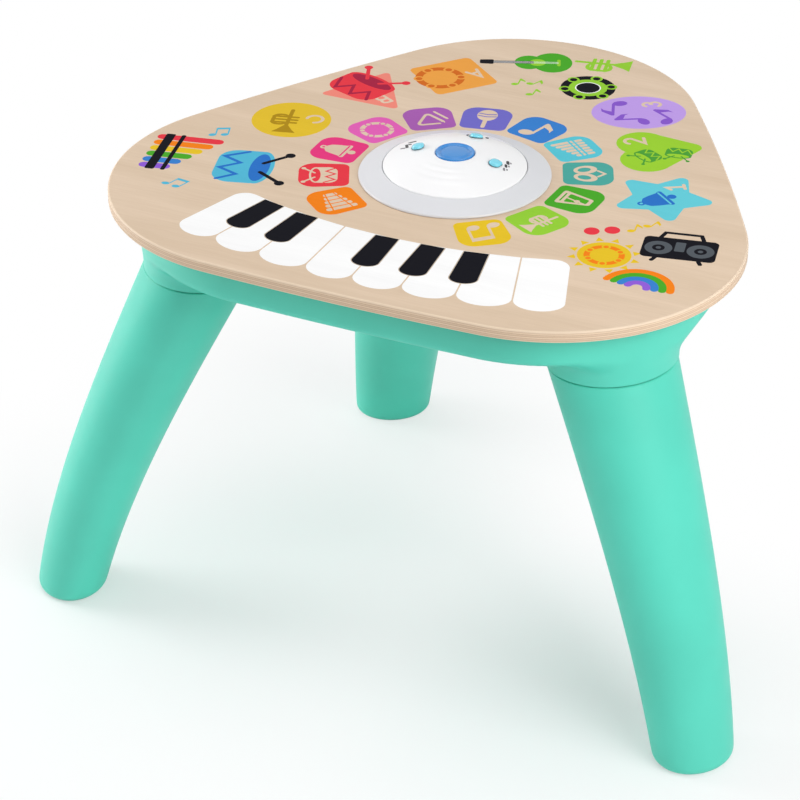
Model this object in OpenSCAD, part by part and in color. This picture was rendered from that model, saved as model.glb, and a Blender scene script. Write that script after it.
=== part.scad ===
// Musical activity table for toddlers: a plywood top in the outline of a
// rounded triangle, a moulded base shell with three splayed oval legs, and a
// domed control unit in the middle of the top.
// Units are millimetres. +Z is up, the keyboard side faces -Y, and the origin
// is on the floor, under the middle of the bounding box.

/* [Tabletop] */
// Height of the playing surface above the floor
table_h = 325; // [300:5:360]
// Thickness of the plywood
top_t = 8; // [7:0.5:12]
// Distance from the middle of the dome to a corner of the top
tip_reach = 239.5; // [236:0.5:244]
// Distance from the middle of the dome to the middle of a side
side_reach = 188; // [187:0.5:190]
// Radius of the rounded corners of the top
corner_r = 132; // [130:1:134]
// Rounding along the upper edge of the plywood
top_edge = 1.8; // [0.5:0.1:2.5]
// Radius of the hole for the control unit
hole_r = 52; // [51:0.5:54]

/* [Base shell] */
// Wall and floor thickness of the moulded shell
shell_wall = 2.6; // [2.2:0.1:3]
// Depth of the shell below the plywood
shell_drop = 31; // [29:0.5:33]
// Distance from the middle of the dome to a corner of the shell's rim
shell_tip = 218.5; // [217.5:0.5:219.5]
// Distance from the middle of the dome to the middle of a side of the shell's rim
shell_side = 170; // [169.5:0.5:171.5]
// Radius of the rounded corners of the shell
shell_corner_r = 119; // [118:0.5:120]
// How far the wall of the shell leans in towards its lower edge
wall_lean = 0.5; // [0:0.25:1]
// Rounding of the lower edge of the shell
edge_r = 6; // [4:0.5:8]
// Radius of the flare between a leg socket and the floor of the shell
flare_r = 19; // [14:0.5:20]
// Depth of a leg socket below the floor of the shell
socket_h = 21; // [20:0.5:24]

/* [Legs] */
// Distance from the middle of the dome to the middle of a front socket
front_reach = 177.5; // [172:0.5:180]
// Distance from the middle of the dome to the middle of the rear socket
rear_reach = 124.5; // [122:0.5:150]
// Direction of the rear leg, counted from +X
rear_angle = 126; // [112:1:128]
// Width of a leg at its socket, across the direction it leans in
leg_w_top = 92; // [84:1:96]
// Depth of a leg at its socket, along the direction it leans in
leg_d_top = 80; // [74:1:84]
// Width of a leg at the floor
leg_w_foot = 59; // [50:1:66]
// Depth of a leg at the floor
leg_d_foot = 50; // [44:1:60]
// Lean of a leg from the vertical just below its socket
lean_top = 26; // [20:1:30]
// Lean of a leg from the vertical at the floor
lean_foot = 12; // [6:1:18]
// Wall thickness of the hollow legs
leg_wall = 3; // [2.6:0.1:3.4]
// Rounding of the lower edge of a foot
foot_round = 7; // [4:0.5:9]
// Height of the spigot that holds a leg in its socket
spigot_h = 29; // [24:1:30]

/* [Control unit] */
// Outer radius of the translucent ring
ring_r = 67; // [66:0.5:70]
// Radius of the domed cover
dome_r = 50; // [48:0.5:50]
// Height of the edge of the dome above the plywood
dome_edge_h = 7.5; // [7:0.25:9]
// Radius of the sphere that shapes the dome
dome_sphere_r = 127; // [120:1:140]
// Wall thickness of the dome
dome_wall = 2.2; // [2:0.1:2.6]
// Radius of the push button
button_r = 13.6; // [12:0.2:15]
// Height of the button's rim above the dome around it
button_proud = 1; // [0.8:0.1:1.6]
// Travel of the push button
button_travel = 1.6; // [1.2:0.1:2]
// Depth of the housing below the surface of the plywood
housing_d = 20; // [19:0.5:20]

/* [Slide knobs] */
// Distance of the left knob from the middle of the dome
left_knob_at = 28; // [26:0.5:30]
// Distance of the rear knob from the middle of the dome
rear_knob_at = 36; // [34:0.5:37]
// Distance of the right knob from the middle of the dome
right_knob_at = 30; // [27:0.5:32]
// Travel of the four-position left knob
left_travel = 6; // [4:0.5:7]
// Travel of the two-position rear knob, half of it to each side
rear_travel = 4; // [3:0.5:5]
// Travel of the three-position right knob, half of it to each side
right_travel = 4; // [3:0.5:6]
// Radius of the round end of a knob
knob_r = 3.9; // [3.4:0.1:4.4]
// Thickness of a knob's cap
knob_t = 2.2; // [1.8:0.1:3]

/* [Battery bay] */
// Radius of one AA cell
cell_r = 7.1; // [7:0.05:7.2]
// Length of one AA cell with its button
cell_l = 50.5; // [49.5:0.1:50.5]
// Distance between neighbouring cells
cell_pitch = 15; // [14.8:0.1:16]
// Distance from the front side of the shell to the middle of the cells
bay_inset = 56; // [50:0.5:57]
// Thickness of the battery door
door_t = 2.3; // [2:0.1:2.4]
// Radius of the rolled hinge edge of the door
door_roll = 1.7; // [1.6:0.05:1.8]
// Radius of the hinge pins of the door
pin_r = 1; // [0.9:0.05:1.1]

/* [Speaker] */
// Radius of the speaker
speaker_r = 25; // [20:0.5:26]
// Distance from the middle of the dome to the middle of the speaker
speaker_at = 100; // [98:1:106]
// Direction of the speaker, counted from +X
speaker_angle = 50; // [44:1:52]

/* [Fits] */
// Gap between a leg spigot and its socket
spigot_gap = 0.3; // [0.2:0.05:0.5]
// Gap round a moving piece, and between parts that are not to touch
gap = 0.3; // [0.2:0.05:0.4]
// Gap between a screw and its hole
screw_gap = 0.1; // [0.05:0.05:0.2]
// Shank radius of the screws
screw_r = 1.5; // [1.3:0.1:1.7]

/* [Hidden] */
$fn = 48;
eps = 0.01;

// Colours
wood_c = [0.87, 0.78, 0.67];
green_c = [0.38, 0.82, 0.73];
ring_c = [0.86, 0.87, 0.89];
white_c = [0.97, 0.97, 0.97];
blue_c = [0.24, 0.55, 0.84];
knob_c = [0.5, 0.84, 0.91];
steel_c = [0.72, 0.73, 0.75];
board_c = [0.1, 0.42, 0.25];
black_c = [0.15, 0.15, 0.17];

// Plan of a three-cornered outline: each corner is an arc about a point at
// corner_at, and each side is a wide arc that meets both corner arcs without a
// kink. A side bows out where side_arc_at is positive, and in where it is negative.
// [corner_at, corner radius, side_arc_at, side arc radius, join angle]
function plan(tip, side, r) =
    let (corner_at = tip - r, side_in = side - r, spare = corner_at - 2 * side_in,
         side_arc_at = (side_in * side_in - corner_at * corner_at)
             / (abs(spare) < eps ? eps : spare),
         way = sign(side_arc_at))
    [corner_at, r, side_arc_at, side_arc_at + side,
     atan2(way * side_arc_at * sin(60), way * (corner_at + side_arc_at * cos(60)))];
top_plan = plan(tip_reach, side_reach, corner_r);
shell_plan = plan(shell_tip, shell_side, shell_corner_r);
corner_steps = 20;
side_steps = 6;

// Levels
wood_z = table_h - top_t;
floor_z = wood_z - shell_drop;
floor_top = floor_z + shell_wall;
seam_z = floor_z - socket_h;
centre_y = (tip_reach - side_reach) / 2;

// Legs and sockets
leg_sides = 32;
front_angles = [210, 330];
socket_wall = leg_wall;
seam_gap = 0.6;
pocket_top = seam_z + spigot_h + 2;
leg_screw_z = seam_z + socket_h / 2 - 1;
leg_screw_l = 16;
leg_screw_head = 4.2;
leg_screw_head_t = 2.6;
leg_pad_r = 6.5;
leg_pad_t = 3;
leg_recess_r = leg_screw_head + 1;

// Screws through the shell into the plywood
boss_r = 5.5;
boss_inset = 14;
boss_angles = [0, 30, 90, 152, 180, 246, 294];
boss_web = 5;
tower_web = 1;
rib_angles = [15, 80, 180, 236, 304];
rib_h = 10;
rib_t = 2;
rib_clear = 12;
screw_head_r = 3.4;
screw_head_t = 2.2;
wood_bite = 6;

// Control unit
dome_low = table_h + dome_edge_h - sqrt(pow(dome_sphere_r, 2) - pow(dome_r, 2));
ring_edge_t = 1.4;
ring_round = 2.2;
ring_wall = 2.2;
flange_t = 1.2;
flange_r = ring_r - 5;
housing_r = hole_r - 2 * gap;
housing_wall = 2;
housing_z = table_h - housing_d;
board_t = 1.6;
board_z = table_h - 5;
board_top = board_z + board_t;
board_r = housing_r - housing_wall - 1.4;
post_r = 4;
post_at = 38;
post_angles = [45, 135, 225, 315];
post_seat = 4;
screw_depth = 7.5;
tower_at = 26;
tower_angles = [30, 150, 270];
tower_post_h = 7;
port_r = 9;
led_r = 2.4;
led_base_h = 1.6;
led_count = 12;
led_at = 43;
spring_turns = 6;
spring_r = 5.5;
spring_wire = 0.4;
spring_slack = 0.05;
switch_s = 6;
switch_h = 4.2;
plunger_r = 1.7;
plunger_h = 1.1;
stem_r = 3;
stem_gap = 0.1;
button_flange_t = 1.2;
button_flange_w = 1.8;
button_rim_w = 1.2;
button_crown_r = 60;

// Slide switches under the knobs
stem_w = 2.4;
slide_h = 4.2;
slide_w = 6;
slide_floor = 1.6;

// Sensor sheet under the plywood
sheet_t = 0.4;
sheet_inset = 21;
sheet_hole_r = 66;
support_r = 60.5;
support_wall = 2.5;
tail_angle = 15;
tail_w = 12;
tail_t = 0.3;
lead_angles = [-78.5, 50.2];
lead_hole = 5;

// Speaker
grille_pitch = 7;
grille_slot_w = 3;
grille_r = speaker_r - 5;
speaker_rib = 1.5;
speaker_z = floor_top + speaker_rib;
speaker_h = 14;
basket_t = 1;
magnet_r = 12;
magnet_t = 5;
cap_r = 8;
clip_post_r = 2;
clip_head_r = 3.2;
clip_screw_r = 1.1;
clip_at = speaker_r + clip_post_r + gap;
clip_angles = [90, 210, 330];

// Battery bay
bay_at = shell_side - bay_inset;
cell_gap = 0.4;
cell_z = floor_top + cell_gap + cell_r;
cavity_w = 3 * cell_pitch;
cavity_l = cell_l + 5.5;
box_wall = 1.6;
box_flange = 1.6;
door_boss_r = 3.6;
door_w = cavity_w + 7;
bay_end_y = -bay_at + cavity_l / 2 + box_wall;
hinge_y = bay_end_y + 3.4;
door_screw_y = -bay_at - cavity_l / 2 - box_wall - door_boss_r - gap;
door_end_y = door_screw_y - door_boss_r - 1;
hinge_z = floor_z + door_roll;
lug_w = 5;
lug_h = 4.6;
door_gap = 0.4;
door_screw_bite = 4.5;
stake_r = 1.4;
stake_x = door_w / 2 + 4.2;
stake_y = cavity_l / 2 - 8;
contact_t = 0.5;
contact_w = 10;
coil_r = 4;
coil_turns = 3;
coil_wire = 0.35;
nub_r = 2.7;
nub_h = 1.3;
grip_count = 4;
grip_pitch = 8;
grip_w = 20;
grip_t = 1.6;
grip_depth = 0.5;

function lerp(a, b, t) = a + (b - a) * t;
function polar(r, a) = [r * cos(a), r * sin(a)];

// Closed outline of a plan, moved inwards by inset
function outline(shape, inset) =
    let (corner_at = shape[0], r = shape[1] - inset, side_at = shape[2],
         side_r = shape[3] - inset, join_a = shape[4])
    [for (k = [0:2]) each concat(
        [for (i = [0:corner_steps])
            let (a = 90 + 120 * k + lerp(-join_a, join_a, i / corner_steps))
            polar(corner_at, 90 + 120 * k) + polar(r, a)],
        [for (i = [1:side_steps - 1])
            let (a = 150 + 120 * k + lerp(join_a - 60, 60 - join_a, i / side_steps))
            polar(side_at, 330 + 120 * k) + polar(side_r, a)]
    )];

// Distance from the middle to the wall of the shell in direction a, moved in by inset
function fold(a) = let (m = (a - 90 + 720) % 120) (m > 60 ? 120 - m : m);
function rim_r(a, inset) =
    let (p = fold(a), corner_at = shell_plan[0], side_at = shell_plan[2], join_a = shell_plan[4],
         rc = shell_plan[1] - inset, rs = shell_plan[3] - inset,
         join = atan2(rc * sin(join_a), corner_at + rc * cos(join_a)))
    p < join
        ? corner_at * cos(p) + sqrt(rc * rc - pow(corner_at * sin(p), 2))
        : sign(side_at) * sqrt(rs * rs - pow(side_at * sin(60 - p), 2))
            - side_at * cos(60 - p);

function flat_ring(points, z) = [for (p = points) [p[0], p[1], z]];
function oval(x, z, rx, ry, n = leg_sides) =
    [for (i = [0:n - 1]) [x + rx * cos(360 * i / n), ry * sin(360 * i / n), z]];

// Inset of the shell's outer face at height h above its floor
function edge_in(h, r) = h < r ? r - sqrt(r * r - pow(r - h, 2)) : 0;
function shell_inset(h) = wall_lean * (1 - h / shell_drop) + edge_in(h, edge_r);
// Growth of a socket near the floor of the shell
function flare(z) = let (d = min(z, floor_z) - (floor_z - flare_r))
    flare_r - sqrt(max(0, pow(flare_r, 2) - d * d));
// Outward shift of a leg's middle at the share t of its drop
function leg_shift(t) =
    seam_z * (tan(lean_top) * t - (tan(lean_top) - tan(lean_foot)) * pow(t, 3) / 3);
function leg_ring(t, inset) = oval(
    leg_shift(t), seam_z * (1 - t),
    lerp(leg_d_top, leg_d_foot, t) / 2 - inset, lerp(leg_w_top, leg_w_foot, t) / 2 - inset);
// Height of the dome's outer face at radius r
function dome_z(r) = dome_low + sqrt(pow(dome_sphere_r, 2) - r * r);
// Underside of the button's flange, which stops against the inside of the dome
button_flange_z =
    dome_z(button_r + button_flange_w + gap) - dome_wall - gap - button_flange_t;

// Solid through a list of rings with equal numbers of points, lowest first
module loft(rings) {
    n = len(rings[0]);
    last = len(rings) - 1;
    polyhedron(
        points = [for (r = rings) each r],
        faces = concat(
            [[for (i = [0:n - 1]) i]],
            [[for (i = [n - 1:-1:0]) last * n + i]],
            [for (k = [0:last - 1], i = [0:n - 1])
                [k * n + i, (k + 1) * n + i, (k + 1) * n + (i + 1) % n]],
            [for (k = [0:last - 1], i = [0:n - 1])
                [k * n + i, (k + 1) * n + (i + 1) % n, k * n + (i + 1) % n]]
        ),
        convexity = 6
    );
}

// Tube of radius r swept along points, with rings square to the route
module sweep(route, r, sides) {
    last = len(route) - 1;
    function dir(i) = let (d = route[min(i + 1, last)] - route[max(i - 1, 0)]) d / norm(d);
    function side(d) = let (s = abs(d[2]) > 0.9 ? cross(d, [1, 0, 0]) : cross(d, [0, 0, 1]))
        s / norm(s);
    rings = [for (i = [0:last])
        let (d = dir(i), u = side(d), v = cross(d, u))
        [for (j = [0:sides - 1])
            route[i] + r * cos(360 * j / sides) * v + r * sin(360 * j / sides) * u]];
    loft([for (i = [0:last]) rings[last - i]]);
}

function helix(r, z0, z1, turns, steps) =
    [for (i = [0:turns * steps])
        let (t = i / (turns * steps))
        [r * cos(360 * turns * t), r * sin(360 * turns * t), lerp(z0, z1, t)]];

// Moves what is built about the middle of the dome into the part's frame
module in_frame() {
    translate([0, -centre_y, 0]) children();
}

module at_leg(reach, angle) {
    rotate([0, 0, angle]) translate([reach, 0, 0]) children();
}

module at_polar(r, a, z) {
    translate([r * cos(a), r * sin(a), z]) children();
}

// Screw with a flat underside, pointing up, its head's seat at z = 0
module screw(shank_r, shank_l, head_r, head_t) {
    translate([0, 0, -head_t / 2]) cylinder(r = shank_r, h = shank_l + head_t / 2);
    translate([0, 0, -head_t]) cylinder(r = head_r, h = head_t);
}

module tabletop() {
    color(wood_c) in_frame() difference() {
        loft([
            flat_ring(outline(top_plan, top_edge / 2), wood_z),
            flat_ring(outline(top_plan, 0), wood_z + top_edge / 2),
            flat_ring(outline(top_plan, 0), table_h - top_edge),
            flat_ring(outline(top_plan, top_edge * 0.3), table_h - top_edge * 0.3),
            flat_ring(outline(top_plan, top_edge), table_h)
        ]);
        translate([0, 0, wood_z - 1]) cylinder(r = hole_r, h = top_t + 2);
        for (a = boss_angles)
            at_polar(rim_r(a, boss_inset), a, wood_z - 1)
                cylinder(r = screw_r + screw_gap, h = wood_bite + 1 + screw_gap, $fn = 24);
    }
}

// Outer body of one leg socket: an oval cup with a pad for the leg's screw
module socket_body() {
    rx = leg_d_top / 2;
    ry = leg_w_top / 2;
    loft([oval(0, seam_z, rx, ry), oval(0, pocket_top + socket_wall, rx, ry)]);
    translate([-rx - leg_pad_t, 0, leg_screw_z])
        rotate([0, 90, 0]) cylinder(r = leg_pad_r, h = leg_pad_t + socket_wall + 2, $fn = 32);
}

// Concave curve from each socket into the floor, which ends at the wall of the shell
module socket_flares() {
    levels = concat(
        [for (i = [0:5]) floor_z - flare_r * cos(90 * i / 5)], [floor_top]);
    intersection() {
        each_leg() loft([for (z = levels)
            oval(0, z, leg_d_top / 2 + flare(z), leg_w_top / 2 + flare(z))]);
        loft([for (z = [seam_z, floor_z + edge_r])
            flat_ring(outline(shell_plan, wall_lean), z)]);
    }
}

// Flat seat for a leg's screw where its pad runs into the flare
module leg_screw_recess() {
    translate([-leg_d_top / 2 - leg_pad_t - flare_r, 0, leg_screw_z])
        rotate([0, 90, 0]) cylinder(r = leg_recess_r, h = flare_r, $fn = 32);
}

module socket_pocket() {
    rx = leg_d_top / 2 - socket_wall;
    ry = leg_w_top / 2 - socket_wall;
    loft([oval(0, seam_z - 1, rx, ry), oval(0, pocket_top, rx, ry)]);
}

module leg_screw_hole(length) {
    translate([-leg_d_top / 2 - leg_pad_t - 1, 0, leg_screw_z])
        rotate([0, 90, 0])
            cylinder(r = screw_r + 1 + screw_gap, h = length, $fn = 24);
}

module each_leg() {
    for (a = front_angles) at_leg(front_reach, a) children();
    at_leg(rear_reach, rear_angle) children();
}

// Slot with round ends along X
module slot(length, width, height) {
    linear_extrude(height) {
        square([length - width, width], center = true);
        for (s = [-1, 1]) translate([s * (length - width) / 2, 0]) circle(d = width, $fn = 24);
    }
}

module at_speaker() {
    at_polar(speaker_at, speaker_angle, 0) children();
}

module base_shell() {
    edge_steps = 4;
    levels = concat(
        [for (i = [0:edge_steps]) edge_r * (1 - cos(90 * i / edge_steps))], [shell_drop]);
    color(green_c) in_frame() difference() {
        union() {
            difference() {
                loft([for (h = levels)
                    flat_ring(outline(shell_plan, shell_inset(h)), floor_z + h)]);
                loft([
                    flat_ring(outline(shell_plan, shell_inset(shell_wall) + shell_wall + 2),
                              floor_top),
                    flat_ring(outline(shell_plan, shell_inset(edge_r) + shell_wall),
                              floor_z + edge_r),
                    flat_ring(outline(shell_plan, shell_wall), wood_z + 1)
                ]);
            }
            each_leg() socket_body();
            socket_flares();
            shell_bosses();
            shell_ribs();
            bay_lugs();
            speaker_seat();
        }
        each_leg() socket_pocket();
        each_leg() leg_screw_hole(leg_pad_t + socket_wall + 3);
        each_leg() leg_screw_recess();
        for (a = boss_angles) at_polar(rim_r(a, boss_inset), a, floor_z - 1) {
            cylinder(r = screw_r + screw_gap, h = shell_drop + 2, $fn = 24);
            cylinder(r = screw_head_r + gap, h = shell_drop - boss_web + 1, $fn = 32);
        }
        for (a = tower_angles) at_polar(tower_at, a, floor_z - 1) {
            cylinder(r = screw_r + screw_gap, h = shell_drop, $fn = 24);
            cylinder(r = screw_head_r + gap, h = shell_wall + tower_web + 1, $fn = 32);
        }
        bay_opening();
        at_speaker() for (i = [-2:2])
            translate([0, i * grille_pitch, floor_z - 1])
                slot(2 * sqrt(pow(grille_r, 2) - pow(i * grille_pitch, 2)), grille_slot_w,
                     shell_wall + 2);
        rotate([0, 0, tail_angle])
            translate([support_r - support_wall - 1, -tail_w / 2 - 1, wood_z - 3])
                cube([support_wall + 2, tail_w + 2, 4]);
        for (a = lead_angles) rotate([0, 0, a])
            translate([support_r - support_wall - 1, -lead_hole / 2, floor_top])
                cube([support_wall + 2, lead_hole, lead_hole]);
    }
}

// Posts that carry the screws: round the rim, and under the housing
module shell_bosses() {
    for (a = boss_angles)
        at_polar(rim_r(a, boss_inset), a, floor_top - 1)
            cylinder(r = boss_r, h = wood_z - floor_top + 1, $fn = 40);
    for (a = tower_angles)
        at_polar(tower_at, a, floor_top - 1)
            cylinder(r = boss_r, h = housing_z - floor_top + 1, $fn = 40);
    for (x = [-1, 1], y = [-1, 1])
        translate([x * stake_x, -bay_at + y * stake_y, floor_top - 1])
            cylinder(r = stake_r, h = box_flange + 2, $fn = 24);
}

// Ring wall that carries the plywood round its hole, and stiffening ribs
module shell_ribs() {
    translate([0, 0, floor_top - 1]) difference() {
        cylinder(r = support_r, h = wood_z - floor_top + 1, $fn = 96);
        translate([0, 0, -1]) cylinder(r = support_r - support_wall, h = shell_drop + 2, $fn = 96);
    }
    for (a = rib_angles)
        rotate([0, 0, a])
            translate([support_r - 1, -rib_t / 2, floor_top - 1])
                cube([rim_r(a, rib_clear) - support_r, rib_t, rib_h]);
}

// Opening in the floor that the battery door closes
module bay_opening() {
    translate([-door_w / 2 - door_gap, door_end_y - door_gap, floor_z - 1])
        cube([door_w + 2 * door_gap,
              hinge_y + door_roll + door_gap - door_end_y + door_gap, shell_wall + 1 + lug_h]);
    pin_run = door_w + 2 * door_gap + 2 * lug_w - 1;
    translate([-pin_run / 2, hinge_y, hinge_z]) rotate([0, 90, 0])
        cylinder(r = pin_r + screw_gap, h = pin_run, $fn = 24);
}

module bay_lugs() {
    for (s = [-1, 1])
        translate([s * (door_w / 2 + door_gap + lug_w / 2), hinge_y - 0.4, floor_z + lug_h / 2])
            cube([lug_w, 2 * door_roll + 3, lug_h], center = true);
}

// Ring that the speaker sits on, with three posts for its screws
module speaker_seat() {
    at_speaker() {
        translate([0, 0, floor_top - 1]) difference() {
            cylinder(r = speaker_r, h = speaker_rib + 1, $fn = 64);
            translate([0, 0, -1]) cylinder(r = speaker_r - 2, h = speaker_rib + 3, $fn = 64);
        }
        for (a = clip_angles)
            at_polar(clip_at, a, floor_top - 1)
                difference() {
                    cylinder(r = clip_post_r, h = speaker_rib + basket_t + 1, $fn = 24);
                    translate([0, 0, 1])
                        cylinder(r = clip_screw_r + screw_gap, h = speaker_rib + basket_t + 1,
                                 $fn = 24);
                }
    }
}

// Hollow leg: rounded foot, tapered body, shoulder at the seam and a spigot
module leg() {
    foot_t = foot_round / seam_z;
    foot_steps = 3;
    rows = 9;
    body_t = concat(
        [for (i = [0:foot_steps]) 1 - foot_t * (1 - cos(90 * i / foot_steps))],
        [for (i = [1:rows]) (1 - foot_t) * (1 - i / rows)]
    );
    inner_rows = 6;
    spigot_in = socket_wall + spigot_gap;
    rx = leg_d_top / 2 - spigot_in;
    ry = leg_w_top / 2 - spigot_in;
    bore_x = rx - leg_wall;
    bore_y = ry - leg_wall;
    top = seam_z - seam_gap + spigot_h;
    difference() {
        union() {
            loft([for (t = body_t)
                let (h = (1 - t) * seam_z,
                     r = leg_ring(t, h < foot_round
                         ? foot_round - sqrt(foot_round * foot_round - pow(foot_round - h, 2))
                         : 0))
                [for (p = r) [p[0], p[1], min(p[2], seam_z - seam_gap)]]]);
            loft([oval(0, seam_z - 2, rx, ry), oval(0, top, rx, ry)]);
        }
        difference() {
            loft(concat(
                [for (i = [0:inner_rows])
                    let (t = 1 - foot_t - (1 - foot_t) * (i / inner_rows) * 0.97)
                    leg_ring(t, lerp(leg_wall, spigot_in + leg_wall, i / inner_rows))],
                [oval(0, seam_z, bore_x, bore_y), oval(0, top + 1, bore_x, bore_y)]
            ));
            translate([-leg_d_top / 2, 0, leg_screw_z])
                rotate([0, 90, 0]) cylinder(r = leg_pad_r, h = leg_screw_l + 1, $fn = 32);
        }
        leg_screw_hole(leg_pad_t + 1 + leg_screw_l + 0.5);
    }
}

module leg_front_left() {
    color(green_c) in_frame() at_leg(front_reach, front_angles[0]) leg();
}

module leg_front_right() {
    color(green_c) in_frame() at_leg(front_reach, front_angles[1]) leg();
}

module leg_rear() {
    color(green_c) in_frame() at_leg(rear_reach, rear_angle) leg();
}

// One machine screw through the inner side of each socket into its leg
module leg_screws() {
    color(steel_c) in_frame() each_leg()
        translate([-leg_d_top / 2 - leg_pad_t, 0, leg_screw_z])
            rotate([0, 90, 0]) screw(screw_r + 1, leg_screw_l, leg_screw_head, leg_screw_head_t);
}

module tabletop_screws() {
    color(steel_c) in_frame()
        for (a = boss_angles)
            at_polar(rim_r(a, boss_inset), a, wood_z - boss_web)
                screw(screw_r, boss_web + wood_bite, screw_head_r, screw_head_t, $fn = 24);
}

// White cup that hangs in the hole of the top by its flange
module control_housing() {
    color(white_c) in_frame() difference() {
        union() {
            translate([0, 0, housing_z]) difference() {
                cylinder(r = housing_r, h = housing_d, $fn = 96);
                translate([0, 0, housing_wall])
                    cylinder(r = housing_r - housing_wall, h = housing_d + 1, $fn = 96);
            }
            translate([0, 0, table_h]) difference() {
                cylinder(r = flange_r, h = flange_t, $fn = 96);
                translate([0, 0, -1])
                    cylinder(r = housing_r - housing_wall, h = flange_t + 2, $fn = 96);
            }
            for (a = post_angles)
                at_polar(post_at, a, housing_z) cylinder(r = post_r, h = board_z - housing_z);
            for (a = tower_angles)
                at_polar(tower_at, a, housing_z) cylinder(r = post_r, h = tower_post_h);
        }
        for (a = post_angles) at_polar(post_at, a, housing_z - 1) {
            cylinder(r = screw_r + screw_gap, h = housing_d, $fn = 24);
            cylinder(r = post_r - 1, h = post_seat + 1, $fn = 32);
        }
        for (a = tower_angles)
            at_polar(tower_at, a, housing_z - 1)
                cylinder(r = screw_r + screw_gap, h = tower_post_h, $fn = 24);
        translate([0, 0, housing_z - 1]) cylinder(r = port_r, h = housing_wall + 2);
        rotate([0, 0, tail_angle])
            translate([housing_r - 2 * housing_wall, -tail_w / 2 - 1, wood_z - 3])
                cube([3 * housing_wall, tail_w + 2, 3]);
    }
}

module housing_screws() {
    length = housing_z - floor_top - tower_web + tower_post_h - 1.5;
    color(steel_c) in_frame()
        for (a = tower_angles)
            at_polar(tower_at, a, floor_top + tower_web)
                screw(screw_r, length, screw_head_r, screw_head_t, $fn = 24);
}

// Translucent ring: a low bevel from the plywood up to the edge of the dome
module light_ring() {
    lip = dome_r + gap;
    top = dome_edge_h - 0.2;
    color(ring_c) in_frame() translate([0, 0, table_h]) rotate_extrude($fn = 144)
        difference() {
            polygon([
                [lip, flange_t], [lip, top], [ring_r - ring_round, ring_edge_t + ring_round / 2],
                [ring_r - ring_round / 3, ring_edge_t + ring_round / 4],
                [ring_r, ring_edge_t - 0.4], [ring_r, 0], [flange_r + gap, 0],
                [flange_r + gap, flange_t]
            ]);
            polygon([
                [lip + ring_wall, flange_t - 1], [lip + ring_wall, top - ring_wall - 0.6],
                [flange_r + gap - 1.5, flange_t + 0.8], [flange_r + gap - 1.5, flange_t - 1]
            ]);
        }
}

// Cuts and stands for the three knobs: [distance, angle, travel low, high]
left_knob = [left_knob_at, 180, -left_travel, 0];
rear_knob = [rear_knob_at, 90, -rear_travel / 2, rear_travel / 2];
right_knob = [right_knob_at, 0, -right_travel / 2, right_travel / 2];
knobs = [left_knob, rear_knob, right_knob];

// Upright box along a knob's travel: low and high ends, width and levels
module knob_run(knob, width, extra, z0, z1) {
    rotate([0, 0, knob[1]])
        translate([knob[0] - width / 2, knob[2] - stem_w / 2 - extra, z0])
            cube([width, knob[3] - knob[2] + stem_w + 2 * extra, z1 - z0]);
}

module dome_cover() {
    skirt_z = table_h + flange_t;
    color(white_c) in_frame() difference() {
        union() {
            rotate_extrude($fn = 144) intersection() {
                translate([0, dome_low]) difference() {
                    circle(r = dome_sphere_r, $fn = 360);
                    circle(r = dome_sphere_r - dome_wall, $fn = 360);
                }
                translate([0, skirt_z]) square([dome_r, 60]);
            }
            translate([0, 0, skirt_z]) difference() {
                cylinder(r = dome_r, h = dome_edge_h - flange_t, $fn = 144);
                translate([0, 0, -1])
                    cylinder(r = dome_r - dome_wall, h = dome_edge_h + 1, $fn = 96);
            }
            for (a = post_angles)
                at_polar(post_at, a, board_top)
                    cylinder(r = post_r - 0.6, h = dome_z(post_at + post_r) - board_top - 0.4);
        }
        translate([0, 0, table_h]) cylinder(r = button_r + gap, h = 60, $fn = 72);
        for (k = knobs) knob_run(k, stem_w + 2 * gap, gap, table_h + flange_t + 1, table_h + 30);
        for (a = post_angles)
            at_polar(post_at, a, board_top - 1)
                cylinder(r = screw_r + screw_gap, h = screw_depth + 1, $fn = 24);
    }
}

// Screws that clamp the board between the housing and the dome
module dome_screws() {
    seat = housing_z + post_seat;
    color(steel_c) in_frame()
        for (a = post_angles)
            at_polar(post_at, a, seat)
                screw(screw_r, board_top + screw_depth - 0.5 - seat, post_r - 1.2, 2, $fn = 24);
}

module control_board() {
    color(board_c) in_frame() difference() {
        translate([0, 0, board_z]) cylinder(r = board_r, h = board_t, $fn = 96);
        for (a = post_angles)
            at_polar(post_at, a, board_z - 1)
                cylinder(r = screw_r + screw_gap, h = board_t + 2, $fn = 24);
    }
}

// Light-emitting diodes round the edge of the board, under the ring
module leds() {
    color([0.95, 0.95, 0.85]) in_frame()
        for (i = [0:led_count - 1])
            at_polar(led_at, 360 * i / led_count, board_top) {
                cylinder(r = led_r, h = led_base_h, $fn = 24);
                translate([0, 0, led_base_h]) intersection() {
                    sphere(r = led_r, $fn = 24);
                    cylinder(r = led_r, h = led_r, $fn = 24);
                }
            }
}

module button_switch() {
    color(black_c) in_frame() translate([0, 0, board_top]) {
        translate([-switch_s / 2, -switch_s / 2, 0]) cube([switch_s, switch_s, switch_h]);
        cylinder(r = plunger_r, h = switch_h + plunger_h, $fn = 24);
    }
}

// Metal-cased slide switches, each with a channel for the foot of its knob
module slide_switches() {
    color(steel_c) in_frame() difference() {
        for (k = knobs) knob_run(k, slide_w, 2, board_top, board_top + slide_h);
        for (k = knobs)
            knob_run(k, stem_w + 2 * gap, gap, board_top + slide_floor, board_top + slide_h + 1);
    }
}

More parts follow.
